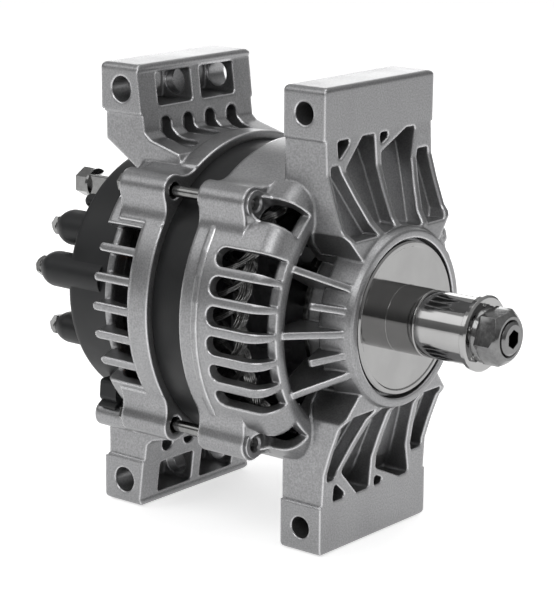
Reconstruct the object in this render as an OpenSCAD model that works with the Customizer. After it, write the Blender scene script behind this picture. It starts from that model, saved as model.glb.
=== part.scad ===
// Heavy-duty brush-type alternator with four through-bolted mounting ears.
// The shaft lies along X with its threaded nose at +X, Z is up, and the origin is on
// the shaft axis in the plane of the drive-end mounting holes. All sizes are in millimetres.

/* [Mounting ears] */
// Distance between the upper and lower mounting holes
hole_span = 200; // [194:1:206]
// Distance between the drive-end and slip-ring-end mounting holes
hole_pitch = 114; // [112:0.5:118]
// Diameter of the drive-end mounting holes
de_hole_d = 11; // [9:0.5:13]
// Diameter of the slip-ring-end mounting holes
sre_hole_d = 13; // [10:0.5:14]
// Width of the ears across their machined pads
ear_w = 85; // [82:1:92]
// Metal between a mounting hole's axis and the ear's outer face
ear_margin = 12.5; // [11:0.5:15]
// Thickness of the drive-end ears along the shaft
de_ear_t = 24; // [20:1:28]
// Thickness of the slip-ring-end ears along the shaft
sre_ear_t = 27; // [25:0.5:30]
// Step of the machined pads above the raw casting
pad_step = 1.3; // [0.8:0.1:2]

/* [Drive-end frame] */
// Outer radius of both cast barrels
barrel_r = 79; // [78:0.5:82]
// Wall of the cast barrels
barrel_wall = 5.5; // [4.5:0.5:6.5]
// Radius of the shoulder between the barrel and the front face
shoulder_r = 12; // [9:0.5:14]
// Front face of the slotted ring
ring_face_x = 5.7; // [4:0.1:8]
// Flat land of the slotted ring between its shoulder and the windows
ring_land = 4; // [3:0.5:6]
// Front face of the bearing hub
hub_face_x = 29.5; // [28:0.5:31]
// Outer radius of the bearing hub at its front
hub_r = 43; // [42:0.5:45]
// Radius of the hub's foot, where the windows start
hub_foot_r = 45; // [44:0.5:48]
// Width of a cooling slot
slot_w = 9.6; // [7:0.2:11]
// Angle between neighbouring cooling slots
slot_pitch = 10.25; // [10:0.05:12]
// Width of the window beside each tie bolt
window_w = 13; // [10:0.5:14]
// Rear end of the cooling slots
slot_rear_x = -28.5; // [-32:0.5:-24]
// Thickness of the spokes and ear ribs
rib_t = 3.2; // [2.4:0.1:4]
// Angle between the full spokes
spoke_pitch = 28; // [26:0.5:30]

/* [Slip-ring-end frame] */
// Width of the plain ring at the front of the rear frame
band_w = 13; // [10:0.5:16]
// Outer radius of the hoop that ties the fins together
hoop_r = 70; // [68:0.5:71]
// Angle between neighbouring fins
fin_pitch = 10.7; // [10:0.1:11.5]
// Thickness of a fin
fin_t = 4; // [3:0.2:5]
// Rear face of the rear frame
sre_rear_x = -102; // [-104:0.5:-101.5]
// Thickness of the rear wall
sre_wall = 5; // [4:0.5:6]
// Width of the four grooves under each rear ear
groove_w = 8.5; // [6:0.5:10]

/* [Tie bolts] */
// Gap between the tie bolts and the core
bolt_gap = 4.7; // [3:0.1:6]
// Diameter of the tie bolts
bolt_d = 5.6; // [5:0.1:6]
// Radius of the cast lobes round the tie bolts
lobe_r = 8; // [7.5:0.1:9]
// Radius of the hollow that blends a lobe into the barrel
lobe_blend_r = 14; // [10:0.5:18]
// Front face of the drive-end lobes
lobe_face_x = -17; // [-20:0.5:-14]
// Rear face of the slip-ring-end lobes
lobe_rear_x = -94; // [-96:0.5:-90]

/* [Stator] */
// Depth of the core's seat in the wall of each barrel
core_seat = 1; // [0.5:0.1:2]
// Radial depth of the laminated core
core_depth = 20.5; // [18:0.5:22]
// Length of the laminated core
core_len = 30; // [28:0.5:32]
// Front face of the laminated core
core_front_x = -40; // [-41:0.5:-39]
// Number of winding slots
winding_slots = 36; // [24:12:48]
// Length by which each frame laps over the core
core_lap = 4.5; // [3:0.5:6]

/* [Rotor] */
// Number of claws on each pole half
claw_count = 6; // [5:1:8]
// Air gap between the claws and the core
air_gap = 0.5; // [0.3:0.1:1]
// Diameter of the shaft's bearing and pole seat at the drive end
shaft_d = 25; // [25:1:25]
// Diameter of the pulley seat
pulley_seat_d = 22.2; // [20:0.1:23]
// Diameter of the threaded nose
nose_d = 16; // [14:1:18]
// Number of blades on each fan
blade_count = 11; // [8:1:12]

/* [Nose pieces] */
// Radius of the polished collar disc
disc_r = 37.2; // [35:0.1:38]
// Running gap round the collar disc
disc_gap = 1.6; // [1:0.1:2.5]
// Outer radius of the shipping sleeve
sleeve_r = 16.1; // [15:0.1:17]
// Front end of the collar's hub
collar_end_x = 44.9; // [42:0.1:48]
// Front end of the shipping sleeve
sleeve_end_x = 72; // [68:0.5:75]
// Radius of the captive washer
nose_washer_r = 18.1; // [17:0.1:20]
// Thickness of the captive washer
nose_washer_t = 3; // [2:0.5:4]
// Width across the flats of the pulley nut
pulley_nut_af = 24; // [22:1:27]
// Height of the pulley nut
pulley_nut_h = 13.5; // [11:0.5:15]

/* [Rear cover] */
// Outer radius of the moulded cover
cover_r = 64.5; // [63.5:0.5:65]
// Wall of the moulded cover
cover_wall = 2.5; // [2:0.1:3]
// Rear face of the moulded cover
cover_rear_x = -132; // [-134:0.5:-131]
// Diameter of the main output stud
output_stud_d = 8; // [6:1:8]
// Diameter of the three signal studs
signal_stud_d = 6; // [5:0.5:6]

/* [Hidden] */

$fn = 64;

// Clearances
fit = 0.02;            // between pieces that are pressed or seated together
run = 0.05;            // between pieces that turn or slide in one another

// Colours
cast_c = "silver";
steel_c = "gainsboro";
black_c = "#2c2d30";
copper_c = "#a0603a";

// Derived radii
bore_in_r = barrel_r - barrel_wall;
core_r = bore_in_r + core_seat;
core_bore_r = core_r - core_depth;
bolt_circle_r = core_r + bolt_d / 2 + bolt_gap;
ring_r = barrel_r - shoulder_r - ring_land;

// Derived stations along the shaft
de_rear_x = core_front_x - core_lap;
core_rear_x = core_front_x - core_len;
sre_front_x = core_rear_x + core_lap;
band_rear_x = sre_front_x - band_w;
ear_top = hole_span / 2 + ear_margin;
pad_z = ear_top - 24.6;
web_w = ear_w - 2 * pad_step;
sre_hole_x = -hole_pitch;
sre_ear_face_x = sre_hole_x + 14;
sre_ear_rear_x = sre_ear_face_x - sre_ear_t;
sre_web_rear_x = sre_ear_rear_x + 2;
lug_yz = [-46.5, -65];
lug_r = 6.5;
nut_x = sleeve_end_x + nose_washer_t;
nose_end_x = nut_x + pulley_nut_h + 1.5;

// Front bearing, 25 x 62 x 17
fb_x = 3;
fb_w = 17;
fb_r = 31;
fb_ball_r = 5.6;
fb_ball_n = 7;
fb_pitch_r = (shaft_d / 2 + fb_r) / 2;

// Rear bearing, 17 x 47 x 14
rb_x = sre_rear_x + 2.5;
rb_w = 14;
rb_r = 23.5;
rb_bore_r = 8.5;
rb_ball_r = 4.35;
rb_ball_n = 7;
rb_pitch_r = (rb_bore_r + rb_r) / 2;

// Rotor
pole_t = 10;
pole_r = core_bore_r - air_gap;
pole_front_x = core_front_x + 8;
pole_rear_x = core_rear_x - 8;
pole_core_r = 27;
fan_t = 1.5;
claw_depth = 9;
coil_r = pole_r - 12.5;
fan_r = core_bore_r - 7;
ring_body_r = 7.9;
ring_r_out = 8.5;
ring_w = 6;
tail_r = 6;
tail_end_x = sre_rear_x - 24;
inner_ring_x = sre_rear_x - 9;
outer_ring_x = inner_ring_x - 10;

// Brushes
brush_l = 17;
brush_x = 5;
brush_y = 6;
holder_top = 43;
holder_screws = [[-9.5, 32.5], [9.5, 32.5]];
regulator_screw_yz = [[23.5, 31], [23.5, 39]];
small_screw_r = 1.9;
thread_l = 4;
holder_foot_z = ring_r_out + 2;

// Rectifier
plate_t = 4;
neg_x = sre_rear_x - 8;
pos_x = neg_x - 14;
plate_in_r = 28;
plate_out_r = cover_r - 10.5;
diode_r = 6.35;
diode_circle_r = 42;
diode_angles = [21, -21, -63, -117, -159, 159];
post_angles = [0, -90, 180];
post_r = 4;
plate_screw_r = 2.3;
lead_circle_r = 58;

// Terminals; a signal post is [inset from the cover's side, angle, boss radius, boss end x, stud end x]
function on_cover(inset, angle) = (cover_r - inset) * [-cos(angle), sin(angle)];
output_yz = on_cover(9.5, 59.4);
output_end_x = cover_rear_x - 25.5;
output_block_h = 12.4;
output_washer_t = 1.6;
output_nut_h = 7.4;
output_nut_end_x = cover_rear_x - output_block_h - output_washer_t - output_nut_h;
plug_yz = on_cover(7.5, 46);
signal_posts = [
    [9.5, 30.5, 9, cover_rear_x - 18.2, cover_rear_x - 25.4],
    [6.5, 8.1, 9, cover_rear_x - 20, cover_rear_x - 27.2],
    [9.5, -24.9, 8, cover_rear_x - 18.1, cover_rear_x - 25.3]];
boss_end_r = 4.6;
signal_washer_t = 0.6;
signal_nut_h = 3;
cover_screw_angles = [90, -135, -45];
cover_screw_circle_r = cover_r - 6;
cover_screw_r = 1.9;
cover_post_r = 3.6;

// Points along an arc, end points included
function arc(cx, cy, r, a0, a1, n = 8) =
    [for (i = [0 : n]) let (a = a0 + (a1 - a0) * i / n) [cx + r * cos(a), cy + r * sin(a)]];

function unit(v) = v / norm(v);

// Points that round one corner of an outline
function corner(before, at, after, r, n) =
    let (u = unit(before - at), v = unit(after - at), half = acos(u * v) / 2)
    let (centre = at + unit(u + v) * r / sin(half), first = at + u * r / tan(half))
    let (last = at + v * r / tan(half), a0 = atan2(first[1] - centre[1], first[0] - centre[0]))
    let (a1 = atan2(last[1] - centre[1], last[0] - centre[0]), raw = a1 - a0)
    let (sweep = raw > 180 ? raw - 360 : raw < -180 ? raw + 360 : raw)
    arc(centre[0], centre[1], r, a0, a0 + sweep, n);

// Outline with every corner rounded; r is one radius or a list with one for each corner
function rounded(pts, r, n = 4) =
    let (m = len(pts))
    [for (i = [0 : m - 1]) let (ri = is_list(r) ? r[i] : r)
        each (ri > 0 ? corner(pts[(i + m - 1) % m], pts[i], pts[(i + 1) % m], ri, n) : [pts[i]])];

function box_pts(x0, x1, y0, y1) = [[x0, y0], [x1, y0], [x1, y1], [x0, y1]];

// Extrudes an outline drawn in (y, z) from x0 to x1
module along_x(x0, x1) translate([x0, 0, 0]) rotate([90, 0, 90]) linear_extrude(x1 - x0) children();

// Extrudes an outline drawn in (x, z) from y0 to y1
module along_y(y0, y1) translate([0, y1, 0]) rotate([90, 0, 0]) linear_extrude(y1 - y0) children();

// Turns a profile drawn in (radius, x) about the shaft
module turned(pts) rotate([90, 0, 90]) rotate_extrude($fn = 96) polygon(pts);

module rod(r, x0, x1) translate([x0, 0, 0]) rotate([0, 90, 0]) cylinder(r = r, h = x1 - x0);

module tube(r_out, r_in, x0, x1) turned(box_pts(r_in, r_out, x0, x1));

module hex_x(af, x0, x1) translate([x0, 0, 0]) rotate([0, 90, 0])
    cylinder(r = af / sqrt(3), h = x1 - x0, $fn = 6);

// Turns what lies on the -Y side to an angle that is counted from -Y towards +Z
module at(angle) rotate([-angle, 0, 0]) children();

// Places children at a radius on the -Y side, turned to an angle
module on_circle(r, angle) at(angle) translate([0, -r, 0]) children();

module both_ends() {
    children();
    mirror([0, 0, 1]) children();
}

module four_corners() {
    for (angle = [45, 135, 225, 315])
        on_circle(bolt_circle_r, angle) children();
}

// Sector of a ring, between two angles that are counted from -Y towards +Z
module sector(r0, r1, a0, a1, x0, x1) {
    along_x(x0, x1) polygon(concat(
        [for (i = [0 : 8]) let (a = a0 + (a1 - a0) * i / 8) [-r1 * cos(a), r1 * sin(a)]],
        [for (i = [8 : -1 : 0]) let (a = a0 + (a1 - a0) * i / 8) [-r0 * cos(a), r0 * sin(a)]]));
}

// Radial plate of thickness t, drawn in (x, radius)
module radial_plate(angle, t, pts) at(angle) translate([0, 0, -t / 2]) linear_extrude(t)
    polygon([for (p = pts) [p[0], -p[1]]]);

// Drive-end frame

// Outer form of the drive-end barrel, shoulder and hub, as one turned solid
module de_turned_form() {
    turned(concat(
        [[0, de_rear_x], [barrel_r, de_rear_x]],
        arc(barrel_r - shoulder_r, ring_face_x - shoulder_r, shoulder_r, 0, 90, 8),
        [[ring_r, ring_face_x], [ring_r - 1, ring_face_x - 4], [hub_foot_r, ring_face_x - 4]],
        [[hub_foot_r, ring_face_x + 6], [hub_r + 0.8, hub_face_x - 3]],
        arc(hub_r - 1.2, hub_face_x - 1.2, 1.2, 0, 90, 3),
        [[0, hub_face_x]]));
}

// Hollow inside the drive-end frame, with the bearing seat and the collar's recess
module de_hollow() {
    throat_r = 27;
    recess_x = fb_x + fb_w + 3.6;
    turned(concat(
        [[0, de_rear_x - 1], [core_r + run, de_rear_x - 1], [core_r + run, core_front_x]],
        [[bore_in_r, core_front_x]],
        arc(bore_in_r - 7.5, ring_face_x - 12.5, 7.5, 0, 90, 5),
        [[ring_r - 1, ring_face_x - 8.7], [39, ring_face_x - 8.7], [39, fb_x - 3.5]],
        [[fb_r + fit, fb_x - 3.5], [fb_r + fit, fb_x + fb_w], [throat_r, fb_x + fb_w]],
        [[throat_r, recess_x], [disc_r + disc_gap, recess_x], [disc_r + disc_gap, hub_face_x + 1]],
        [[0, hub_face_x + 1]]));
}

// Ear outline seen from the front, in (y, z)
module de_ear_outline() {
    w = ear_w / 2;
    v = web_w / 2;
    polygon(concat(
        [[-26, 27], [-v, 45], [-v, pad_z]],
        rounded([[-w, pad_z], [-w, ear_top], [w, ear_top], [w, pad_z]], [0, 3, 3, 0]),
        [[v, pad_z], [v, 45], [26, 27]]));
}

// Ear outline seen from the side, in (x, z)
module de_ear_profile() {
    t = de_ear_t / 2;
    polygon(concat(
        rounded([[-t, 27], [-t, ear_top], [t, ear_top], [t, pad_z]], [0, 2, 2, 0]),
        [[t + 0.8, 72], [t + 4.5, 60], [t + 9, 48], [hub_face_x - 4.5, 43], [hub_face_x - 3, 27]]));
}

// Pockets between the ribs of an ear, in (y, z)
function de_pockets() = let (v = web_w / 2 - 2.6, top = pad_z - 0.6, foot = hub_r + 1.5) [
    [[-v, 76], [-v, 46], [-27.5, 33], [-16.5, 41.2], [-32.2, 76]],
    [[-33.2, top], [-20.3, top], [-32.6, 76.8]],
    [[-14, top], [-3.8, top], [-1.9, foot], [-12.6, foot - 2], [-27.4, 73.6]],
    [[-0.4, top], [13, top], [-0.2, 81]],
    [[20.8, top], [28.8, top], [17.8, foot - 3], [1.3, foot], [0.2, 78]],
    [[v, 76], [v, 46], [30.5, 33], [21.2, 40.2], [29.4, 76]]];

// Pockets of an ear, cut from the front down to a sloping floor
module de_ear_pockets() {
    intersection() {
        along_x(-30, hub_face_x + 10) difference() {
            for (pts = de_pockets())
                polygon(rounded(pts, 1.8, 4));
            circle(r = hub_r + 1);
        }
        along_y(-50, 50) polygon([[-3, 95], [-3, 86], [2, 78], [hub_face_x - 14, 42], [hub_face_x + 9, 42],
            [hub_face_x + 9, 95]]);
    }
}

module de_ear() {
    difference() {
        intersection() {
            along_x(-de_ear_t, hub_face_x) de_ear_outline();
            along_y(-ear_w, ear_w) de_ear_profile();
        }
        de_ear_pockets();
    }
}

// Cooling slot that wraps over the shoulder; its front end is rounded in the face
module de_slot(angle, w, rear_x) {
    at(angle) translate([0, 5 - ring_r, 0]) rotate([90, 0, 0]) linear_extrude(barrel_r)
        polygon(rounded(box_pts(rear_x, ring_face_x + 15, -w / 2, w / 2), [w / 2.1, 0, 0, w / 2.1], 6));
}

module de_slots() {
    foot_r = ring_r + 5.8;
    intersection() {
        union() {
            for (side = [0, 180], i = [-2.5 : 1 : 2.5])
                de_slot(side + i * slot_pitch, slot_w, slot_rear_x);
            for (angle = [45, 135, 225, 315])
                de_slot(angle, window_w, lobe_face_x);
        }
        tube(barrel_r + 25, foot_r, slot_rear_x - 5, ring_face_x + 12);
    }
}

// Outline of the tie-bolt lobes with their blends, in (y, z), for the lobe on the -Y side
module lobe_outline() {
    reach = barrel_r + lobe_blend_r;
    span = lobe_r + lobe_blend_r;
    phi = acos((pow(reach, 2) + pow(bolt_circle_r, 2) - pow(span, 2)) / (2 * reach * bolt_circle_r));
    centre = [-reach * cos(phi), reach * sin(phi)];
    turn = atan2(-centre[1], -bolt_circle_r - centre[0]);
    root = barrel_r - barrel_wall + 1;
    polygon(concat(
        [[-root * cos(phi), root * sin(phi)]],
        arc(centre[0], centre[1], lobe_blend_r, -phi, turn, 6),
        arc(-bolt_circle_r, 0, lobe_r, turn + 180, 180 - turn, 10),
        arc(centre[0], -centre[1], lobe_blend_r, -turn, phi, 6),
        [[-root * cos(phi), -root * sin(phi)]]));
}

module lobes(x0, x1) {
    for (angle = [45, 135, 225, 315])
        at(angle) along_x(x0, x1) lobe_outline();
}

// Cowl that slopes from a lobe down to the ring's face, round the window beside the bolt
module de_cowl() {
    translate([lobe_face_x - 8, 6, 0]) rotate([0, 0, 26]) rod(window_w / 2 + 4.4, 0, 34);
}

module spokes(angle_off) {
    crest = [[ring_face_x + 1, ring_r + 2], [ring_face_x + 3, ring_r - 0.5], [hub_face_x - 6, hub_r + 4],
        [hub_face_x - 1.5, hub_r - 2]];
    foot = [[ring_face_x - 4, fb_r + 6], [ring_face_x - 8.5, fb_r + 9.5],
        [ring_face_x - 8.5, ring_r - 1], [ring_face_x - 2, ring_r + 2]];
    for (i = [-1, 0, 1])
        radial_plate(angle_off + i * spoke_pitch, rib_t, concat(crest, foot));
    for (i = [-0.5, 0.5])
        radial_plate(angle_off + i * spoke_pitch, rib_t, [[ring_face_x + 8, 56.4], [ring_face_x + 6.5, 55],
            [ring_face_x + 4.6, hub_foot_r - 2], [ring_face_x + 4.6, hub_r - 2], [hub_face_x - 1.5, hub_r - 2],
            [hub_face_x - 6, hub_r + 3.4], [ring_face_x + 9.5, 56.2]]);
}

module drive_end_frame() {
    seat_wall_r = fb_r + 7.4;
    lip_x = ring_face_x + 5.95;
    color(cast_c) difference() {
        union() {
            difference() {
                union() {
                    de_turned_form();
                    both_ends() de_ear();
                    lobes(de_rear_x, lobe_face_x);
                    intersection() {
                        four_corners() de_cowl();
                        rod(barrel_r + 30, de_rear_x, ring_face_x - 0.6);
                    }
                    for (side = [0, 180])
                        sector(barrel_r - 1, barrel_r + 0.9, side - 35, side + 35, -37, -33.8);
                }
                de_slots();
                for (side = [0, 180])
                    sector(seat_wall_r, ring_r - 1.4, side - 46, side + 46, ring_face_x - 20, lip_x);
            }
            for (side = [0, 180])
                spokes(side);
        }
        de_hollow();
        for (side = [-1, 1])
            translate([0, 0, side * hole_span / 2]) rotate([90, 0, 0])
                cylinder(d = de_hole_d, h = ear_w + 2, center = true);
        four_corners() {
            rod(bolt_d / 2 + 0.3, de_rear_x - 1, lobe_face_x + 12);
            turned([[0, lobe_face_x - 1], [bolt_d / 2 + 0.3, lobe_face_x - 1], [bolt_d / 2 + 1.3, lobe_face_x + 0.01],
                [0, lobe_face_x + 0.01]]);
        }
        for (angle = [45, 135, 225, 315])
            on_circle(34.9, angle) rod(2.4, fb_x - 12, fb_x + 8);
    }
}

// Slip-ring-end frame

module sre_turned_form() {
    step = 1;
    turned(concat(
        [[0, sre_rear_x]],
        arc(barrel_r - step - 3, sre_rear_x + 3, 3, -90, 0, 4),
        [[barrel_r - step, band_rear_x + 1.5], [barrel_r, band_rear_x + 1.5], [barrel_r, sre_front_x]],
        [[0, sre_front_x]]));
}

module sre_hollow() {
    wall_x = sre_rear_x + sre_wall;
    turned(concat(
        [[0, sre_front_x + 1], [0, wall_x + 12.5], [rb_r + 5, wall_x + 12.5], [rb_r + 5, wall_x]],
        [[bore_in_r - 8, wall_x]],
        arc(bore_in_r - 5, wall_x + 5, 5, -90, 0, 4),
        [[bore_in_r, core_rear_x], [core_r + run, core_rear_x], [core_r + run, sre_front_x + 1]]));
}

// Ear outline seen from behind, in (y, z)
module sre_ear_outline() {
    w = ear_w / 2;
    v = web_w / 2;
    polygon(concat(
        [[-v, 50], [-v, pad_z]],
        rounded([[-w, pad_z], [-w, ear_top], [w, ear_top], [w, pad_z]], [1, 3, 3, 1]),
        [[v, pad_z], [v, 50]]));
}

// Ear outline seen from the side, in (x, z): block, web, and the saddle down to the barrel
module sre_ear_profile() {
    polygon(concat(
        rounded([[sre_ear_rear_x, pad_z], [sre_ear_rear_x, ear_top], [sre_ear_face_x, ear_top]], [1, 2, 2]),
        [[sre_ear_face_x, 79.5], [sre_ear_face_x + 3.5, 76.6], [band_rear_x + 0.5, 71.5], [band_rear_x + 3, 66]],
        [[band_rear_x + 3, 50], [sre_rear_x + 1.5, 50], [sre_rear_x + 1.5, 59]],
        rounded([[sre_web_rear_x, 74.5], [sre_web_rear_x, pad_z]], [0, 0])));
}

// Two cored windows in the ear's front face
module sre_ear_windows() {
    for (side = [-1, 1])
        along_x(sre_ear_rear_x + 5, sre_ear_face_x + 1)
            polygon(rounded([for (p = box_pts(3, 29.4, 91.3, 107.8)) [side * p[0], p[1]]], 2));
}

// Two cored pockets in the rear of the ear's web
module sre_ear_pockets() {
    for (side = [-1, 1])
        along_x(sre_web_rear_x - 3, sre_ear_face_x - 12)
            polygon(rounded([for (p = box_pts(3, 36, 66, 85)) [side * p[0], p[1]]], 3));
}

// Four grooves that run from the ear's foot towards the plain band; their rear ends open into the barrel
module sre_grooves() {
    top_z = 86;
    front_x = band_rear_x - 2.5;
    rear_x = sre_ear_face_x - 7;
    half = groove_w / 2;
    for (i = [-1.5 : 1 : 1.5])
        let (y = i * 16.6) difference() {
            intersection() {
                along_x(rear_x, front_x)
                    polygon(rounded(box_pts(y - half, y + half, 55, top_z), [0, 0, half * 0.95, half * 0.95], 5));
                translate([0, 0, 50]) linear_extrude(50)
                    polygon(rounded(box_pts(rear_x - 1, front_x, y - half, y + half), [0, half * 0.95, half * 0.95, 0], 5));
                along_y(-50, 50) polygon([[rear_x - 1, 90], [front_x, 90], [front_x, 60],
                    [sre_ear_face_x - 2, 60], [rear_x, 78]]);
            }
            rod(bore_in_r + 1.6, sre_ear_face_x + 2.5, sre_front_x);
        }
}

module sre_ear() {
    difference() {
        intersection() {
            along_x(sre_ear_rear_x, sre_front_x) sre_ear_outline();
            along_y(-ear_w, ear_w) sre_ear_profile();
        }
        sre_ear_windows();
        sre_ear_pockets();
    }
}

// Fins with rounded ends, and the round-edged hoop that ties them together
module sre_fins() {
    root_x = band_rear_x + 1;
    tip_x = sre_rear_x + 1.2;
    top_r = barrel_r - 1;
    for (side = [0, 180], i = [-2 : 2])
        intersection() {
            at(side + i * fin_pitch) rotate([90, 0, 0]) linear_extrude(top_r)
                polygon(rounded(box_pts(tip_x, root_x, -fin_t / 2, fin_t / 2), [fin_t / 2.1, 0, 0, fin_t / 2.1], 5));
            radial_plate(side + i * fin_pitch, fin_t + 1, [[root_x + 1, bore_in_r + 0.5], [root_x + 1, barrel_r],
                [tip_x - 1, barrel_r], [tip_x - 1, hoop_r - 3.5], [sre_rear_x + sre_wall, hoop_r - 3.5],
                [sre_rear_x + sre_wall + 3, bore_in_r - 3]]);
        }
    rotate([90, 0, 90]) rotate_extrude($fn = 96) translate([hoop_r - 2.5, sre_rear_x + 2.5]) circle(r = 2.45, $fn = 32);
}

// Holes for the screws of the brush holder, regulator, rectifier and cover
module sre_tapped_holes() {
    for (p = concat(holder_screws, regulator_screw_yz))
        translate([0, p[0], p[1]]) rod(small_screw_r + fit, sre_rear_x - 1, sre_rear_x + thread_l + 0.5);
    for (angle = cover_screw_angles)
        on_circle(cover_screw_circle_r, angle)
            rod(cover_screw_r + fit, sre_rear_x - 1, sre_rear_x + thread_l + 0.5);
    for (angle = post_angles)
        on_circle(diode_circle_r - 2, angle)
            rod(plate_screw_r + fit, neg_x + plate_t - 1, neg_x + plate_t + thread_l + 0.5);
}

module slip_ring_end_frame() {
    wall_x = sre_rear_x + sre_wall;
    color(cast_c) difference() {
        union() {
            difference() {
                union() {
                    sre_turned_form();
                    both_ends() sre_ear();
                    lobes(lobe_rear_x, sre_front_x);
                    translate([0, lug_yz[0], lug_yz[1]]) rod(lug_r, sre_ear_rear_x + 3, sre_ear_face_x);
                }
                sre_hollow();
                for (side = [0, 180])
                    sector(hoop_r - 3, barrel_r + 8, side - 30.5, side + 30.5, sre_rear_x - 1, band_rear_x);
                both_ends() sre_grooves();
                translate([sre_rear_x - 30, 0, 0]) rod(cover_r + 0.7, 0, 30);
            }
            sre_fins();
            for (angle = post_angles)
                on_circle(diode_circle_r - 2, angle) rod(post_r, neg_x + plate_t, wall_x);
        }
        sre_tapped_holes();
        difference() {
            for (angle = [0 : 45 : 315])
                sector(rb_r + 7, cover_r - 3.5, angle + 6, angle + 39, sre_rear_x - 1, wall_x + 1);
            along_x(sre_rear_x - 2, wall_x + 2)
                polygon([[-14, 20], [14, 20], [30, 20], [30, 44], [15, 44], [15, 39], [-14, 39]]);
        }
        rod(rb_r + fit, rb_x, wall_x + 20);
        rod(18, sre_rear_x - 1, wall_x + 20);
        for (side = [-1, 1])
            translate([sre_hole_x, 0, side * hole_span / 2]) rotate([90, 0, 0])
                cylinder(d = sre_hole_d, h = ear_w + 2, center = true);
        four_corners() {
            rod(bolt_d / 2 + 0.4, lobe_rear_x - 1, sre_front_x + 1);
            rod(4.2, sre_front_x - 10, sre_front_x + 1);
            rod(lobe_r - 0.7, sre_rear_x - 1, lobe_rear_x);
        }
    }
}

// Stator

module winding_bars(extra) {
    slot_in_r = core_bore_r + 1.5;
    slot_out_r = core_r - 6.5;
    for (i = [0 : winding_slots - 1])
        at(i * 360 / winding_slots) translate([core_rear_x - 3, -slot_out_r - extra, -2.1 - extra])
            cube([core_len + 6, slot_out_r - slot_in_r + 2 * extra, 4.2 + 2 * extra]);
}

module stator_core() {
    color(black_c) difference() {
        tube(core_r, core_bore_r, core_rear_x, core_front_x);
        winding_bars(0.15);
    }
}

// End turns at both ends of the core, joined by the bars in the core's slots
module stator_windings() {
    in_r = core_bore_r + 3;
    out_r = bore_in_r - 2.5;
    front_x = core_front_x + 26;
    rear_x = core_rear_x - 18;
    color(copper_c) {
        turned(concat([[in_r, core_front_x + 0.2], [out_r, core_front_x + 0.2]],
            arc(out_r - 5, front_x - 5, 5, 0, 90, 4), arc(in_r + 5, front_x - 5, 5, 90, 180, 4)));
        turned(concat([[out_r, core_rear_x - 0.2], [in_r, core_rear_x - 0.2]],
            arc(in_r + 5, rear_x + 5, 5, 180, 270, 4), arc(out_r - 5, rear_x + 5, 5, 270, 360, 4)));
        winding_bars(0);
    }
}

module tie_bolts() {
    head_h = 4;
    color(steel_c) four_corners() {
        rod(bolt_d / 2, lobe_rear_x - 0.5, lobe_face_x - 1.6);
        rod(5.6, lobe_rear_x - 1, lobe_rear_x);
        hex_x(8, lobe_rear_x - 1 - head_h, lobe_rear_x - 1);
    }
}

// Bearings

module race_grooves(x, w, pitch_r, ball_r) {
    groove_r = ball_r + run;
    rotate([90, 0, 90]) rotate_extrude($fn = 96) translate([pitch_r, x + w / 2]) circle(r = groove_r, $fn = 32);
}

module outer_race(x, w, r_out, pitch_r, ball_r) {
    difference() {
        tube(r_out, pitch_r + ball_r * 0.62, x, x + w);
        race_grooves(x, w, pitch_r, ball_r);
    }
}

module inner_race(x, w, r_in, pitch_r, ball_r) {
    difference() {
        tube(pitch_r - ball_r * 0.62, r_in, x, x + w);
        race_grooves(x, w, pitch_r, ball_r);
    }
}

module ball_ring(x, w, pitch_r, ball_r, count) {
    for (i = [0 : count - 1])
        on_circle(pitch_r, i * 360 / count) translate([x + w / 2, 0, 0]) sphere(r = ball_r, $fn = 32);
}

module cage(x, w, pitch_r, ball_r, count) {
    difference() {
        tube(pitch_r + 1.4, pitch_r - 1.4, x + w / 2 - ball_r * 1.15, x + w / 2 + ball_r * 1.15);
        for (i = [0 : count - 1])
            on_circle(pitch_r, i * 360 / count) translate([x + w / 2, 0, 0]) rotate([90, 0, 0])
                cylinder(r = ball_r + 0.15, h = 6, center = true);
    }
}

module shields(x, w, pitch_r, ball_r) {
    r_out = pitch_r + ball_r * 0.62 - fit;
    r_in = pitch_r - ball_r * 0.62 + 0.3;
    tube(r_out, r_in, x + 0.4, x + 1);
    tube(r_out, r_in, x + w - 1, x + w - 0.4);
}

module front_bearing_outer_race() {
    color(steel_c) outer_race(fb_x, fb_w, fb_r, fb_pitch_r, fb_ball_r);
}

module front_bearing_inner_race() {
    color(steel_c) inner_race(fb_x, fb_w, shaft_d / 2 + fit, fb_pitch_r, fb_ball_r);
}

module front_bearing_balls() {
    color(steel_c) ball_ring(fb_x, fb_w, fb_pitch_r, fb_ball_r, fb_ball_n);
}

module front_bearing_cage() {
    color(copper_c) cage(fb_x, fb_w, fb_pitch_r, fb_ball_r, fb_ball_n);
}

module front_bearing_shields() {
    color(black_c) shields(fb_x, fb_w, fb_pitch_r, fb_ball_r);
}

module rear_bearing_outer_race() {
    color(steel_c) outer_race(rb_x, rb_w, rb_r, rb_pitch_r, rb_ball_r);
}

module rear_bearing_inner_race() {
    color(steel_c) inner_race(rb_x, rb_w, rb_bore_r + fit, rb_pitch_r, rb_ball_r);
}

module rear_bearing_balls() {
    color(steel_c) ball_ring(rb_x, rb_w, rb_pitch_r, rb_ball_r, rb_ball_n);
}

module rear_bearing_cage() {
    color(copper_c) cage(rb_x, rb_w, rb_pitch_r, rb_ball_r, rb_ball_n);
}

module rear_bearing_shields() {
    color(black_c) shields(rb_x, rb_w, rb_pitch_r, rb_ball_r);
}

// Plate that holds the front bearing in its seat
module bearing_retainer() {
    face_x = fb_x - 3.5;
    color(steel_c) difference() {
        union() {
            tube(38.5, 19, face_x - 2.5, face_x);
            tube(fb_r - 0.5, 26.5, face_x, fb_x);
        }
        for (angle = [45, 135, 225, 315])
            on_circle(34.9, angle) rod(2.7, face_x - 3, face_x + 1);
    }
}

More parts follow.
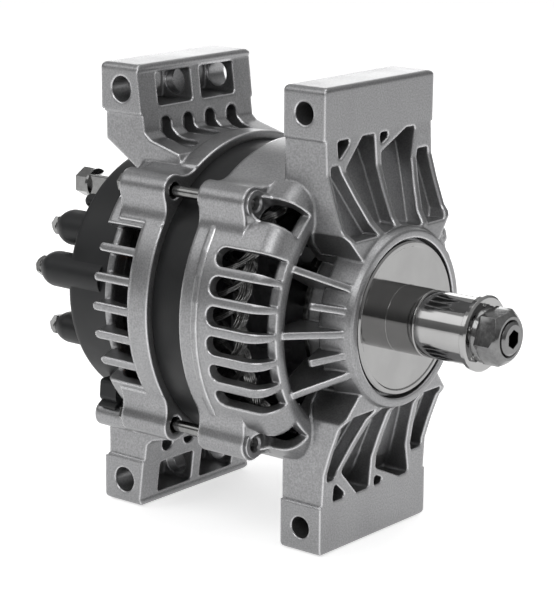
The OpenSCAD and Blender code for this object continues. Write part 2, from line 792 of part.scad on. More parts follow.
module retainer_screws() {
    face_x = fb_x - 3.5;
    color(steel_c) for (angle = [45, 135, 225, 315])
        on_circle(34.9, angle) {
            rod(2.3, face_x - 3, fb_x + 6);
            difference() {
                rod(4.2, face_x - 5.5, face_x - 2.5);
                hex_x(3.5, face_x - 6, face_x - 4);
            }
        }
}

// Rotor

module rotor_shaft() {
    r = shaft_d / 2;
    seat_r = pulley_seat_d / 2;
    nose_r = nose_d / 2;
    rear_shoulder_x = rb_x + rb_w;
    color(steel_c) difference() {
        turned([[0, tail_end_x], [tail_r, tail_end_x], [tail_r, rb_x - 2], [rb_bore_r, rb_x - 2],
            [rb_bore_r, rear_shoulder_x], [rb_bore_r + 2.5, rear_shoulder_x], [rb_bore_r + 2.5, rear_shoulder_x + 2],
            [r, pole_rear_x - fan_t], [r, fb_x + fb_w], [seat_r, fb_x + fb_w],
            [seat_r, sleeve_end_x - 2], [nose_r, sleeve_end_x - 1], [nose_r, nose_end_x - 1.2],
            [nose_r - 1.2, nose_end_x], [0, nose_end_x]]);
        hex_x(8, nose_end_x - 9, nose_end_x + 1);
    }
}

// One half of the rotor's iron: disc, half core and tapered claws, drawn with its back at x = 0
module claw_pole() {
    length = pole_front_x - pole_rear_x;
    claw_l = length - 2;
    difference() {
        union() {
            tube(pole_core_r, shaft_d / 2 + fit, -length / 2, 0);
            tube(38, shaft_d / 2 + fit, -pole_t, 0);
            for (i = [0 : claw_count - 1])
                at(i * 360 / claw_count) {
                    translate([-pole_t, claw_depth - pole_r - 1.5, -13]) cube([pole_t, 20, 26]);
                    intersection() {
                        tube(pole_r, pole_r - claw_depth, -claw_l, 0);
                        rotate([90, 0, 0]) linear_extrude(pole_r + 5)
                            polygon([[0, -14], [0, 14], [-pole_t, 15], [-claw_l, 5.5], [-claw_l, -5.5], [-pole_t, -15]]);
                    }
                }
        }
        translate([-0.01, 0, 0]) turned([[pole_r - 2.5, 0.1], [pole_r + 1, 0.1], [pole_r + 1, -3]]);
    }
}

module front_claw_pole() {
    color("dimgray") translate([pole_front_x, 0, 0]) claw_pole();
}

module rear_claw_pole() {
    color("dimgray") translate([pole_rear_x, 0, 0]) mirror([1, 0, 0]) at(180 / claw_count) claw_pole();
}

module coil_bobbin() {
    x0 = pole_rear_x + pole_t + 0.3;
    x1 = pole_front_x - pole_t - 0.3;
    color("ivory") turned([[pole_core_r + 0.1, x0], [coil_r + 1, x0], [coil_r + 1, x0 + 1.2],
        [pole_core_r + 1.4, x0 + 1.2], [pole_core_r + 1.4, x1 - 1.2], [coil_r + 1, x1 - 1.2],
        [coil_r + 1, x1], [pole_core_r + 0.1, x1]]);
}

module field_coil() {
    color(copper_c) tube(coil_r, pole_core_r + 1.5, pole_rear_x + pole_t + 1.6, pole_front_x - pole_t - 1.6);
}

// Pressed fan, drawn with its back at x = 0 and its blades towards +X
module fan(blade_h, hub_r_in) {
    tube(fan_r, hub_r_in, 0, fan_t);
    for (i = [0 : blade_count - 1])
        at(i * 360 / blade_count)
            along_x(fan_t - 0.5, blade_h) polygon(concat(
                [for (j = [0 : 5]) blade_point(j)], [for (j = [5 : -1 : 0]) blade_point(j) + [0, fan_t]]));
}

// Point of a blade's curve, which leans back as it nears the fan's rim
function blade_point(j) = let (r = fan_r - 14.5 + 2.8 * j, a = 0.9 * j * j) [-r * cos(a), r * sin(a)];

module front_fan() {
    color("dimgray") translate([pole_front_x, 0, 0]) fan(14, shaft_d / 2 + fit);
}

module rear_fan() {
    color("dimgray") translate([pole_rear_x, 0, 0]) mirror([1, 0, 0]) fan(11, 31);
}

module front_spacer() {
    color(steel_c) tube(fb_pitch_r - fb_ball_r * 0.62, shaft_d / 2 + fit, pole_front_x + fan_t, fb_x);
}

module slip_ring_body() {
    color("saddlebrown") difference() {
        tube(ring_body_r + 1.6, tail_r + fit, tail_end_x + 0.5, rb_x - 2);
        for (x = [inner_ring_x, outer_ring_x])
            tube(ring_body_r + 4, ring_body_r, x - ring_w / 2, x + ring_w / 2);
        tube(ring_body_r + 4, ring_r_out + 0.3, tail_end_x, outer_ring_x - ring_w / 2 - 0.1);
        tube(ring_body_r + 4, ring_r_out + 0.3, inner_ring_x + ring_w / 2 + 0.1, rb_x);
    }
}

module slip_rings() {
    color(copper_c) for (x = [inner_ring_x, outer_ring_x])
        tube(ring_r_out, ring_body_r, x - ring_w / 2, x + ring_w / 2);
}

// Pieces on the nose of the shaft

module collar() {
    seat_r = pulley_seat_d / 2 + fit;
    back_x = fb_x + fb_w;
    disc_back_x = back_x + 4.4;
    hub_out_r = sleeve_r + 0.1;
    color(steel_c) turned(concat(
        [[seat_r, back_x], [18.2, back_x], [18.2, disc_back_x], [disc_r, disc_back_x]],
        [[disc_r, hub_face_x - 0.8], [disc_r - 0.8, hub_face_x], [disc_r - 2.4, hub_face_x]],
        [[disc_r - 3, hub_face_x - 0.5], [hub_out_r, hub_face_x - 0.5]],
        [[hub_out_r, collar_end_x - 0.5], [hub_out_r - 0.5, collar_end_x], [seat_r, collar_end_x]]));
}

module shipping_sleeve() {
    seat_r = pulley_seat_d / 2 + fit;
    color(steel_c) turned([[seat_r, collar_end_x], [sleeve_r - 0.5, collar_end_x], [sleeve_r, collar_end_x + 0.5],
        [sleeve_r, sleeve_end_x - 0.6], [sleeve_r - 0.6, sleeve_end_x], [seat_r, sleeve_end_x]]);
}

module pulley_washer() {
    color(steel_c) turned([[nose_d / 2 + run, sleeve_end_x], [nose_washer_r, sleeve_end_x],
        [nose_washer_r, nut_x - 1], [nose_washer_r - 1, nut_x], [nose_d / 2 + run, nut_x]]);
}

module pulley_nut() {
    r = pulley_nut_af / sqrt(3);
    end_x = nut_x + pulley_nut_h;
    color(steel_c) difference() {
        intersection() {
            hex_x(pulley_nut_af, nut_x, end_x);
            turned([[0, nut_x], [r - 0.2, nut_x], [r + 0.6, nut_x + 0.6], [r + 0.6, end_x - 2],
                [pulley_nut_af / 2 - 0.4, end_x], [0, end_x]]);
        }
        rod(nose_d / 2 + fit, nut_x - 1, end_x + 1);
    }
}

// Brush gear

module brush_bore(x) {
    translate([x - brush_x / 2 - 0.12, -brush_y / 2 - 0.12, holder_foot_z - 1])
        cube([brush_x + 0.24, brush_y + 0.24, holder_top - 2.5 - holder_foot_z + 1]);
}

// Moulded holder that stands over the slip rings, with a foot on the rear wall
module brush_holder() {
    back_x = outer_ring_x - 5.5;
    front_x = inner_ring_x + 5.5;
    color(black_c) difference() {
        union() {
            translate([back_x, -6, holder_foot_z]) cube([front_x - back_x, 12, holder_top - holder_foot_z]);
            translate([front_x - 1, -13, 24]) cube([sre_rear_x - front_x + 1, 26, 17]);
        }
        brush_bore(inner_ring_x);
        brush_bore(outer_ring_x);
        for (p = holder_screws)
            translate([0, p[0], p[1]]) rod(small_screw_r + 0.2, sre_rear_x - 10, sre_rear_x + 1);
    }
}

module brush(x) {
    difference() {
        translate([x - brush_x / 2, -brush_y / 2, ring_r_out - 1]) cube([brush_x, brush_y, brush_l]);
        rod(ring_r_out + run, x - 5, x + 5);
    }
}

module inner_brush() {
    color("dimgray") brush(inner_ring_x);
}

module outer_brush() {
    color("dimgray") brush(outer_ring_x);
}

// Coil spring: a round wire swept along a helix, between z0 and z1
module coil_spring(r, wire_r, z0, z1, turns) {
    steps = turns * 10;
    sides = 6;
    ring = [for (i = [0 : steps]) let (a = 360 * turns * i / steps, z = z0 + wire_r + (z1 - z0 - 2 * wire_r) * i / steps)
        for (j = [0 : sides - 1]) let (b = 360 * j / sides)
            [(r + wire_r * cos(b)) * cos(a), (r + wire_r * cos(b)) * sin(a), z + wire_r * sin(b)]];
    side_faces = [for (i = [0 : steps - 1], j = [0 : sides - 1]) let (k = (j + 1) % sides)
        each [[i * sides + j, (i + 1) * sides + j, (i + 1) * sides + k],
            [i * sides + j, (i + 1) * sides + k, i * sides + k]]];
    ends = [[for (j = [0 : sides - 1]) j], [for (j = [sides - 1 : -1 : 0]) steps * sides + j]];
    polyhedron(points = ring, faces = concat(side_faces, ends));
}

module brush_spring(x) {
    translate([x, 0, 0]) coil_spring(1.9, 0.3, ring_r_out - 1 + brush_l, holder_top - 2.5, 5);
}

module inner_brush_spring() {
    color(steel_c) brush_spring(inner_ring_x);
}

module outer_brush_spring() {
    color(steel_c) brush_spring(outer_ring_x);
}

module voltage_regulator() {
    back_x = sre_rear_x - 18;
    foot_x = sre_rear_x - 5;
    color(black_c) difference() {
        union() {
            along_x(back_x, foot_x) polygon(rounded(box_pts(13.8, 34, 25, 46), 2));
            along_x(foot_x, sre_rear_x) polygon(rounded(box_pts(15, 30, 26.5, 44), 2));
        }
        for (p = regulator_screw_yz)
            translate([0, p[0], p[1]]) rod(small_screw_r + 0.2, back_x - 1, sre_rear_x + 1);
    }
}

module regulator_screws() {
    color(steel_c) {
        for (p = holder_screws)
            translate([0, p[0], p[1]]) small_screw(inner_ring_x + 4.5);
        for (p = regulator_screw_yz)
            translate([0, p[0], p[1]]) small_screw(sre_rear_x - 18);
    }
}

// Small pan-head screw whose head stands behind x and whose thread enters the rear wall
module small_screw(x) {
    rod(small_screw_r, x - 0.5, sre_rear_x + thread_l);
    difference() {
        rod(3.4, x - 2.6, x);
        translate([x - 2.7, -3, -0.4]) cube([1.2, 6, 0.8]);
    }
}

// Rectifier

module plate_form(x, lug) {
    along_x(x, x + plate_t) difference() {
        union() {
            intersection() {
                circle(r = plate_out_r);
                polygon(concat([[0, 0]], [for (i = [0 : 12]) let (a = 60 - i * 22.6) [-90 * cos(a), 90 * sin(a)]]));
            }
            if (lug)
                translate(output_yz) circle(r = 6);
        }
        circle(r = plate_in_r);
        for (angle = diode_angles)
            rotate(-angle) translate([-diode_circle_r, 0]) circle(r = diode_r + fit);
        for (angle = post_angles)
            rotate(-angle) translate([-(diode_circle_r - 2), 0]) circle(r = 2.6);
        if (lug)
            translate(output_yz) circle(d = output_stud_d + 2 * fit);
        if (!lug)
            translate(output_yz) circle(r = 8);
    }
}

module negative_plate() {
    color("silver") plate_form(neg_x, false);
}

module positive_plate() {
    color("silver") plate_form(pos_x, true);
}

// Pressed-in diode: a knurled can with a lead on one side
module diode(x, way) {
    r = diode_r;
    rod(r, x, x + plate_t);
    translate([x + plate_t / 2, 0, 0]) scale([way, 1, 1]) {
        rod(r - 0.8, plate_t / 2, plate_t / 2 + 2);
        rod(0.8, plate_t / 2, plate_t / 2 + 3.6);
    }
}

module diode_ring(x, way) {
    for (angle = diode_angles)
        on_circle(diode_circle_r, angle) diode(x, way);
}

module negative_diodes() {
    color(steel_c) diode_ring(neg_x, -1);
}

module positive_diodes() {
    color(steel_c) diode_ring(pos_x, 1);
}

// Copper leads from the windings to the strip between each pair of diodes
module phase_leads() {
    strip_x = (neg_x + pos_x + plate_t) / 2;
    color(copper_c) for (angle = diode_angles)
        at(angle) {
            translate([0, -lead_circle_r, 0]) rod(1.3, strip_x - 1.3, core_rear_x - 18.2);
            translate([strip_x - 1.3, -lead_circle_r, -3]) cube([2.6, lead_circle_r - diode_circle_r + 3, 6]);
        }
}

module plate_insulators() {
    color("ivory") for (angle = post_angles)
        on_circle(diode_circle_r - 2, angle) difference() {
            rod(post_r + 0.5, pos_x + plate_t, neg_x);
            rod(2.5, pos_x, neg_x + 1);
        }
}

module plate_screws() {
    color(steel_c) for (angle = post_angles)
        on_circle(diode_circle_r - 2, angle) {
            rod(plate_screw_r, pos_x - 0.5, neg_x + plate_t + thread_l);
            hex_x(7, pos_x - 3, pos_x);
        }
}

// Terminals

module output_stud() {
    r = output_stud_d / 2;
    translate([0, output_yz[0], output_yz[1]]) color(steel_c) {
        turned([[0, output_end_x], [r - 1.6, output_end_x], [r - 0.1, output_end_x + 2],
            [r - 0.1, output_nut_end_x - 0.2], [r, output_nut_end_x - 0.2], [r, pos_x + plate_t],
            [r + 2, pos_x + plate_t], [r + 2, pos_x + plate_t + 3], [0, pos_x + plate_t + 3]]);
    }
}

// Square metal block that stands on the positive plate and comes out through the cover
module output_block() {
    far_x = cover_rear_x - output_block_h;
    color(steel_c) translate([0, output_yz[0], output_yz[1]]) difference() {
        along_x(far_x, pos_x) polygon(rounded(box_pts(-5.5, 5.5, -5.5, 5.5), 1));
        rod(output_stud_d / 2 + fit, far_x - 1, pos_x + 1);
    }
}

module output_washer() {
    x = cover_rear_x - output_block_h;
    color(steel_c) translate([0, output_yz[0], output_yz[1]])
        tube(7.5, output_stud_d / 2 + run, x - output_washer_t, x);
}

module output_nut() {
    front_x = output_nut_end_x + output_nut_h;
    color(steel_c) translate([0, output_yz[0], output_yz[1]]) difference() {
        hex_x(13, output_nut_end_x, front_x);
        rod(output_stud_d / 2 + fit, output_nut_end_x - 1, front_x + 1);
    }
}

module at_post(p) on_circle(cover_r - p[0], p[1]) children();

module signal_studs() {
    r = signal_stud_d / 2;
    color(steel_c) for (p = signal_posts)
        at_post(p) turned([[0, p[4]], [r - 1.8, p[4]], [r, p[4] + 2.4],
            [r, cover_rear_x + 2], [0, cover_rear_x + 2]]);
}

module signal_washers() {
    color(steel_c) for (p = signal_posts)
        at_post(p) tube(boss_end_r, signal_stud_d / 2 + run, p[3] - signal_washer_t, p[3]);
}

module signal_nuts() {
    af = 9;
    color(steel_c) for (p = signal_posts) let (front_x = p[3] - signal_washer_t, rear_x = front_x - signal_nut_h)
        at_post(p) difference() {
            intersection() {
                hex_x(af, rear_x, front_x);
                turned([[0, rear_x], [af / 2 - 0.5, rear_x], [af / 2 + 1.2, rear_x + 1.4], [af / 2 + 1.2, front_x], [0, front_x]]);
            }
            rod(signal_stud_d / 2 + fit, rear_x - 1, front_x + 1);
        }
}

// Moulded cover over the brush gear and the rectifier

// Vents in the rear face: rings of short curved slots
module cover_vents() {
    for (ring = [22, 30, 38])
        for (i = [0 : 7])
            sector(ring, ring + 4, i * 45 - 62.5, i * 45 - 27.5, cover_rear_x - 1, cover_rear_x + cover_wall + 1);
}

// Boss of a signal post, with a long rounded shoulder down to the washer
module cover_boss(p) {
    slope = [[1, 8], [0.96, 6.8], [0.86, 5.4], [0.68, 3.8], [0.34, 1.6], [0.08, 0.4], [0, 0]];
    at_post(p) turned(concat([[0, cover_rear_x + 23], [p[2], cover_rear_x + 23]],
        [for (k = slope) [boss_end_r + (p[2] - boss_end_r) * k[0], p[3] + k[1]]],
        [[0, p[3]]]));
}

module rear_cover() {
    front_x = sre_rear_x - 1;
    inner_r = cover_r - cover_wall;
    color(black_c) difference() {
        union() {
            difference() {
                union() {
                    turned(concat([[0, front_x], [0, cover_rear_x]],
                        arc(cover_r - 4, cover_rear_x + 4, 4, -90, 0, 5), [[cover_r, front_x]]));
                    for (p = signal_posts)
                        cover_boss(p);
                }
                turned(concat([[0, front_x + 1], [0, cover_rear_x + cover_wall]],
                    arc(inner_r - 2, cover_rear_x + cover_wall + 2, 2, -90, 0, 3), [[inner_r, front_x + 1]]));
            }
            for (angle = cover_screw_angles)
                on_circle(cover_screw_circle_r, angle) rod(cover_post_r, cover_rear_x + 1, sre_rear_x);
            along_x(sre_rear_x - 19, sre_rear_x - 8)
                polygon(rounded([[-38, -52], [-44, -46], [-52, -46], [-53, -57], [-43, -58.3]], [0, 0, 2, 3, 3]));
            translate([0, lug_yz[0], lug_yz[1]]) intersection() {
                tube(lug_r + 2.8, lug_r + 0.3, sre_rear_x - 19, sre_rear_x - 8);
                along_x(sre_rear_x - 30, sre_rear_x) polygon([[-7, 5], [7, 5], [7, 12], [-7, 12]]);
            }
        }
        cover_vents();
        for (p = signal_posts)
            at_post(p) rod(signal_stud_d / 2 + fit, p[4] - 1, cover_rear_x + 2);
        translate([cover_rear_x - 1, output_yz[0] - 6, output_yz[1] - 6]) cube([cover_wall + 2, 12, 12]);
        for (angle = cover_screw_angles)
            on_circle(cover_screw_circle_r, angle) {
                rod(cover_screw_r + 0.2, cover_rear_x - 1, sre_rear_x + 1);
                rod(3.5, cover_rear_x - 1, cover_rear_x + 1.6);
            }
        translate([0, plug_yz[0], plug_yz[1]]) rod(2.5, cover_rear_x - 1, cover_rear_x + 5);
    }
}

module cover_screws() {
    color(steel_c) for (angle = cover_screw_angles)
        on_circle(cover_screw_circle_r, angle) {
            rod(cover_screw_r, cover_rear_x + 1, sre_rear_x + thread_l);
            difference() {
                rod(3.2, cover_rear_x - 1.2, cover_rear_x + 1.6);
                hex_x(3, cover_rear_x - 2, cover_rear_x);
            }
        }
}

// Round plug in the cover's spare hole
module cover_plug() {
    color(black_c) translate([0, plug_yz[0], plug_yz[1]]) turned(concat([[0, cover_rear_x + 2],
        [2.4, cover_rear_x + 2], [2.4, cover_rear_x], [3.6, cover_rear_x], [3.6, cover_rear_x - 5]],
        arc(0, cover_rear_x - 5, 3.6, 0, -90, 5)));
}

drive_end_frame();
slip_ring_end_frame();
stator_core();
stator_windings();
tie_bolts();
bearing_retainer();
retainer_screws();
front_bearing_outer_race();
front_bearing_inner_race();
front_bearing_balls();
front_bearing_cage();
front_bearing_shields();
rear_bearing_outer_race();
rear_bearing_inner_race();
rear_bearing_balls();
rear_bearing_cage();
rear_bearing_shields();
rotor_shaft();
front_claw_pole();
rear_claw_pole();
coil_bobbin();
field_coil();
front_fan();
rear_fan();
front_spacer();
slip_ring_body();
slip_rings();
collar();
shipping_sleeve();
pulley_washer();
pulley_nut();
brush_holder();
inner_brush();
outer_brush();
inner_brush_spring();
outer_brush_spring();
voltage_regulator();
regulator_screws();
positive_plate();
negative_plate();
positive_diodes();
negative_diodes();
phase_leads();
plate_insulators();
plate_screws();
output_stud();
output_block();
output_washer();
output_nut();
signal_studs();
signal_washers();
signal_nuts();
rear_cover();
cover_screws();
cover_plug();
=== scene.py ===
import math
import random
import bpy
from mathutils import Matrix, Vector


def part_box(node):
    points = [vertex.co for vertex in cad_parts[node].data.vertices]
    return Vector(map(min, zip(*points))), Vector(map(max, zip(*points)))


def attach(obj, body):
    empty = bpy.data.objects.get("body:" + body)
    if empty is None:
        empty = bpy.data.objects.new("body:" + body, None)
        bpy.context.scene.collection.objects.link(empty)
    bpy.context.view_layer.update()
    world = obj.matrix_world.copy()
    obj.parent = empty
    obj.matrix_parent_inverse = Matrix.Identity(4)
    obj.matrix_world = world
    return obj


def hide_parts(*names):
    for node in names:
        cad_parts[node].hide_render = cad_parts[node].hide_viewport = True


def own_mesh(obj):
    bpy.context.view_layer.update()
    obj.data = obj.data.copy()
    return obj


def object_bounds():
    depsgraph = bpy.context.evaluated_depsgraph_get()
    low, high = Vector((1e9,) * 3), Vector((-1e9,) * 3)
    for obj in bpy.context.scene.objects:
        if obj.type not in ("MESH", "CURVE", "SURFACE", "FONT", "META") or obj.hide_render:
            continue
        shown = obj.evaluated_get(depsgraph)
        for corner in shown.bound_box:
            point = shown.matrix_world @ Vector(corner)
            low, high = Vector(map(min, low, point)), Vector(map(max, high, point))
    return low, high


bl_info = {
    "name": "Heavy-duty alternator",
    "version": (1, 0, 0),
    "blender": (4, 5, 0),
    "location": "3D View > Sidebar > Alternator",
    "description": "Dresses the fixed alternator frame: castings, windings, nut, studs, springs and studio",
    "category": "Object",
}

import bpy
from mathutils import Matrix, Vector

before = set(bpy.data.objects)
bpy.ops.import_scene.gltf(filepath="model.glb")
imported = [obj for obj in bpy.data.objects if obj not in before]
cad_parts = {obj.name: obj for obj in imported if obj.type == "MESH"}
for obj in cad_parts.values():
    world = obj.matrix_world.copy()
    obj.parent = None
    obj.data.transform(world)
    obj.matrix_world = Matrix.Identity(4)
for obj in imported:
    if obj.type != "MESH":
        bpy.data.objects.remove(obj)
cad_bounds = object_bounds()

MM = 0.001


# Settings


class CameraSettings(bpy.types.PropertyGroup):
    azimuth: bpy.props.FloatProperty(
        name="Azimuth", description="Turn of the view about the upright axis, from the -Y side towards +X",
        default=math.radians(38.911), subtype="ANGLE")
    elevation: bpy.props.FloatProperty(
        name="Elevation", description="Height of the view above the horizon",
        default=math.radians(13.682), subtype="ANGLE")
    roll: bpy.props.FloatProperty(
        name="Roll", description="Turn of the camera about its own line of sight",
        default=math.radians(0.445), subtype="ANGLE")
    distance: bpy.props.FloatProperty(
        name="Distance", description="Distance from the aim point to the camera",
        default=1.08739, unit="LENGTH")
    slide_right: bpy.props.FloatProperty(
        name="Slide right", description="Sideways place of the camera in its own picture plane",
        default=-0.060255, unit="LENGTH")
    slide_up: bpy.props.FloatProperty(
        name="Slide up", description="Upward place of the camera in its own picture plane",
        default=0.009653, unit="LENGTH")
    aim_x: bpy.props.FloatProperty(
        name="Aim along the shaft", description="Place on the shaft that the angles are counted from",
        default=0.028, unit="LENGTH")
    focal_length: bpy.props.FloatProperty(
        name="Focal length", description="Lens for a 36 mm sensor along the picture's long side",
        default=138.56, unit="CAMERA")


class StudioSettings(bpy.types.PropertyGroup):
    key_power: bpy.props.FloatProperty(
        name="Key light", description="Power of the large light high on the viewer's side",
        default=5.8, min=0.0, unit="POWER")
    left_power: bpy.props.FloatProperty(
        name="Left light", description="Power of the light high on the left",
        default=2.6, min=0.0, unit="POWER")
    fill_power: bpy.props.FloatProperty(
        name="Fill light", description="Power of the soft light at the nose's side",
        default=0.55, min=0.0, unit="POWER")
    top_power: bpy.props.FloatProperty(
        name="Top light", description="Power of the light straight above",
        default=5.0, min=0.0, unit="POWER")
    back_power: bpy.props.FloatProperty(
        name="Back light", description="Power of the wide light behind the object, for its upper faces",
        default=6.0, min=0.0, unit="POWER")
    horizon_level: bpy.props.FloatProperty(
        name="Level at the horizon", description="Level of the surroundings at the height of the object",
        default=0.21, min=0.0)
    zenith_level: bpy.props.FloatProperty(
        name="Level overhead", description="Level of the surroundings straight above",
        default=0.5, min=0.0)
    floor_glow: bpy.props.FloatProperty(
        name="Floor white", description="White that the floor adds where it is seen",
        default=0.62, min=0.0, max=1.0)
    floor_colour: bpy.props.FloatVectorProperty(
        name="Floor", description="Colour of the pale floor", subtype="COLOR",
        default=(0.8, 0.8, 0.8), min=0.0, max=1.0)


class FinishSettings(bpy.types.PropertyGroup):
    cast_colour: bpy.props.FloatVectorProperty(
        name="Cast aluminium", description="Colour of the two end frames", subtype="COLOR",
        default=(0.29, 0.29, 0.295), min=0.0, max=1.0)
    cast_edge: bpy.props.FloatProperty(
        name="Edge rounding", description="Radius of the soft edges of the castings in their material",
        default=2.3 * MM, min=0.0, unit="LENGTH")
    steel_colour: bpy.props.FloatVectorProperty(
        name="Turned steel", description="Colour of the sleeve, spacer and washer", subtype="COLOR",
        default=(0.36, 0.358, 0.356), min=0.0, max=1.0)
    collar_colour: bpy.props.FloatVectorProperty(
        name="Polished collar", description="Colour of the mirror-finished collar disc", subtype="COLOR",
        default=(0.32, 0.318, 0.316), min=0.0, max=1.0)
    nut_colour: bpy.props.FloatVectorProperty(
        name="Oiled steel", description="Colour of the nut on the nose and the shaft", subtype="COLOR",
        default=(0.2, 0.2, 0.2), min=0.0, max=1.0)
    zinc_colour: bpy.props.FloatVectorProperty(
        name="Zinc plating", description="Colour of the plated fasteners and terminals", subtype="COLOR",
        default=(0.22, 0.22, 0.217), min=0.0, max=1.0)
    plastic_colour: bpy.props.FloatVectorProperty(
        name="Moulded plastic", description="Colour of the rear cover", subtype="COLOR",
        default=(0.0085, 0.009, 0.0098), min=0.0, max=1.0)
    core_colour: bpy.props.FloatVectorProperty(
        name="Stator core", description="Colour of the varnished lamination pack", subtype="COLOR",
        default=(0.006, 0.0063, 0.0068), min=0.0, max=1.0)


class WindingSettings(bpy.types.PropertyGroup):
    wire_diameter: bpy.props.FloatProperty(
        name="Wire", description="Diameter of the stator wire with its enamel",
        default=1.2 * MM, min=0.0, unit="LENGTH")
    coil_span: bpy.props.IntProperty(
        name="Coil span", description="Number of slots between the two sides of a coil", default=3, min=1)
    slots: bpy.props.IntProperty(
        name="Slots", description="Number of slots in the stator core", default=36, min=6)
    front_reach: bpy.props.FloatProperty(
        name="Front reach", description="How far the end turns stand out of the core at the drive end",
        default=24 * MM, min=0.0, unit="LENGTH")
    rear_reach: bpy.props.FloatProperty(
        name="Rear reach", description="How far the end turns stand out of the core at the rear",
        default=16.5 * MM, min=0.0, unit="LENGTH")


# Helpers that work as by hand


ALONG_SHAFT = (0, math.pi / 2, 0)
CONE_SIDES = 72
SEAT_SIDES = 48
STUD_SIDES = 40
SCREW_STEPS = 28
END_FACE_LIMIT = 0.9


def clear_selection():
    bpy.ops.object.select_all(action="DESELECT")


def select_only(*objects):
    clear_selection()
    for obj in objects:
        obj.select_set(True)
    bpy.context.view_layer.objects.active = objects[0]


def newest():
    """The piece that the last step has added or changed."""
    return bpy.context.view_layer.objects.active


def settle(obj):
    """Puts a finished piece's place into its mesh, and leaves its object at the origin."""
    select_only(obj)
    bpy.ops.object.transform_apply(location=True, rotation=True, scale=True)


def apply_modifiers(obj):
    select_only(obj)
    for modifier in list(obj.modifiers):
        bpy.ops.object.modifier_apply(modifier=modifier.name)


def name_piece(obj, name):
    obj.name = name
    obj.data.name = name
    return obj


def join_pieces(objects, name):
    select_only(*objects)
    bpy.ops.object.join()
    return name_piece(newest(), name)


def fix_normals(obj, merge=0.002 * MM):
    select_only(obj)
    bpy.ops.object.mode_set(mode="EDIT")
    bpy.ops.mesh.select_all(action="SELECT")
    bpy.ops.mesh.remove_doubles(threshold=merge)
    bpy.ops.mesh.normals_make_consistent(inside=False)
    bpy.ops.object.mode_set(mode="OBJECT")


def smooth(obj, degrees):
    select_only(obj)
    bpy.ops.object.shade_smooth_by_angle(angle=math.radians(degrees))


def wear_material(obj, material):
    obj.data.materials.clear()
    obj.data.materials.append(material)


def turn_about_shaft(angle):
    """Turns the selected piece about the shaft, from -Y towards +Z."""
    bpy.ops.transform.rotate(value=angle, orient_axis="X", center_override=(0, 0, 0))


def turned_copies(obj, count, step, name):
    """Copies a piece round the shaft, each copy with its own mesh, and joins them."""
    copies = [obj]
    for i in range(1, count):
        select_only(obj)
        bpy.ops.object.duplicate(linked=False)
        turn_about_shaft(i * step)
        copies.append(newest())
    return join_pieces(copies, name)


def bar_along_shaft(radius, start_x, end_x, sides):
    clear_selection()
    bpy.ops.mesh.primitive_cylinder_add(
        vertices=sides, radius=radius, depth=end_x - start_x,
        location=((start_x + end_x) / 2, 0, 0), rotation=ALONG_SHAFT)
    bar = newest()
    settle(bar)
    return bar


def pick_end_face(bar, side):
    """Selects the face at one end of a bar, on the side of +X or -X, and stays in Edit Mode."""
    bpy.ops.object.mode_set(mode="EDIT")
    bpy.ops.mesh.select_all(action="DESELECT")
    bpy.ops.object.mode_set(mode="OBJECT")
    for face in bar.data.polygons:
        face.select = face.normal.x * side > END_FACE_LIMIT
    bpy.ops.object.mode_set(mode="EDIT")
    bpy.ops.mesh.select_mode(type="FACE")


def draw_line(points):
    """Extrudes one vertex from point to point."""
    clear_selection()
    bpy.ops.mesh.primitive_plane_add(size=MM, location=points[0])
    bpy.ops.object.mode_set(mode="EDIT")
    bpy.ops.mesh.merge(type="CENTER")
    for a, b in zip(points, points[1:]):
        bpy.ops.mesh.extrude_vertices_move(TRANSFORM_OT_translate={"value": Vector(b) - Vector(a)})
    bpy.ops.object.mode_set(mode="OBJECT")
    return newest()


def tube_along(points, radius):
    """Draws a line, and gives it the thickness of a wire."""
    draw_line(points)
    bpy.ops.object.convert(target="CURVE")
    line = newest()
    line.data.bevel_depth = radius
    line.data.bevel_resolution = 1
    line.data.use_fill_caps = True
    bpy.ops.object.convert(target="MESH")
    return newest()


def sweep(outline, pitch, turns):
    """Sweeps an outline round the upright axis into a helix."""
    select_only(outline)
    bpy.ops.object.modifier_add(type="SCREW")
    screw = outline.modifiers[-1]
    screw.axis = "Z"
    screw.screw_offset = pitch
    screw.iterations = turns
    screw.steps = SCREW_STEPS
    screw.render_steps = SCREW_STEPS
    screw.use_merge_vertices = False
    apply_modifiers(outline)


def blend_value(a, b, t):
    return a + (b - a) * t


# Materials


# Sockets of the mix node by place, because its number and colour sockets share their names
MIX_FACTOR = 0
MIX_NUMBER_A = 2
MIX_NUMBER_B = 3
MIX_NUMBER_OUT = 0
MIX_COLOUR_A = 6
MIX_COLOUR_B = 7
MIX_COLOUR_OUT = 2

# How strongly the outer edges of the castings are marked, how much brighter the painted highlight makes
# them, and how smooth their rubbed polish is
EDGE_POLISH_AND_HIGHLIGHT = 0.85
EDGE_PAINTED_HIGHLIGHT = 2.7
EDGE_ROUGHNESS = 0.2


def shade_of(colour, share):
    return (*[min(1, c * share) for c in colour], 1)


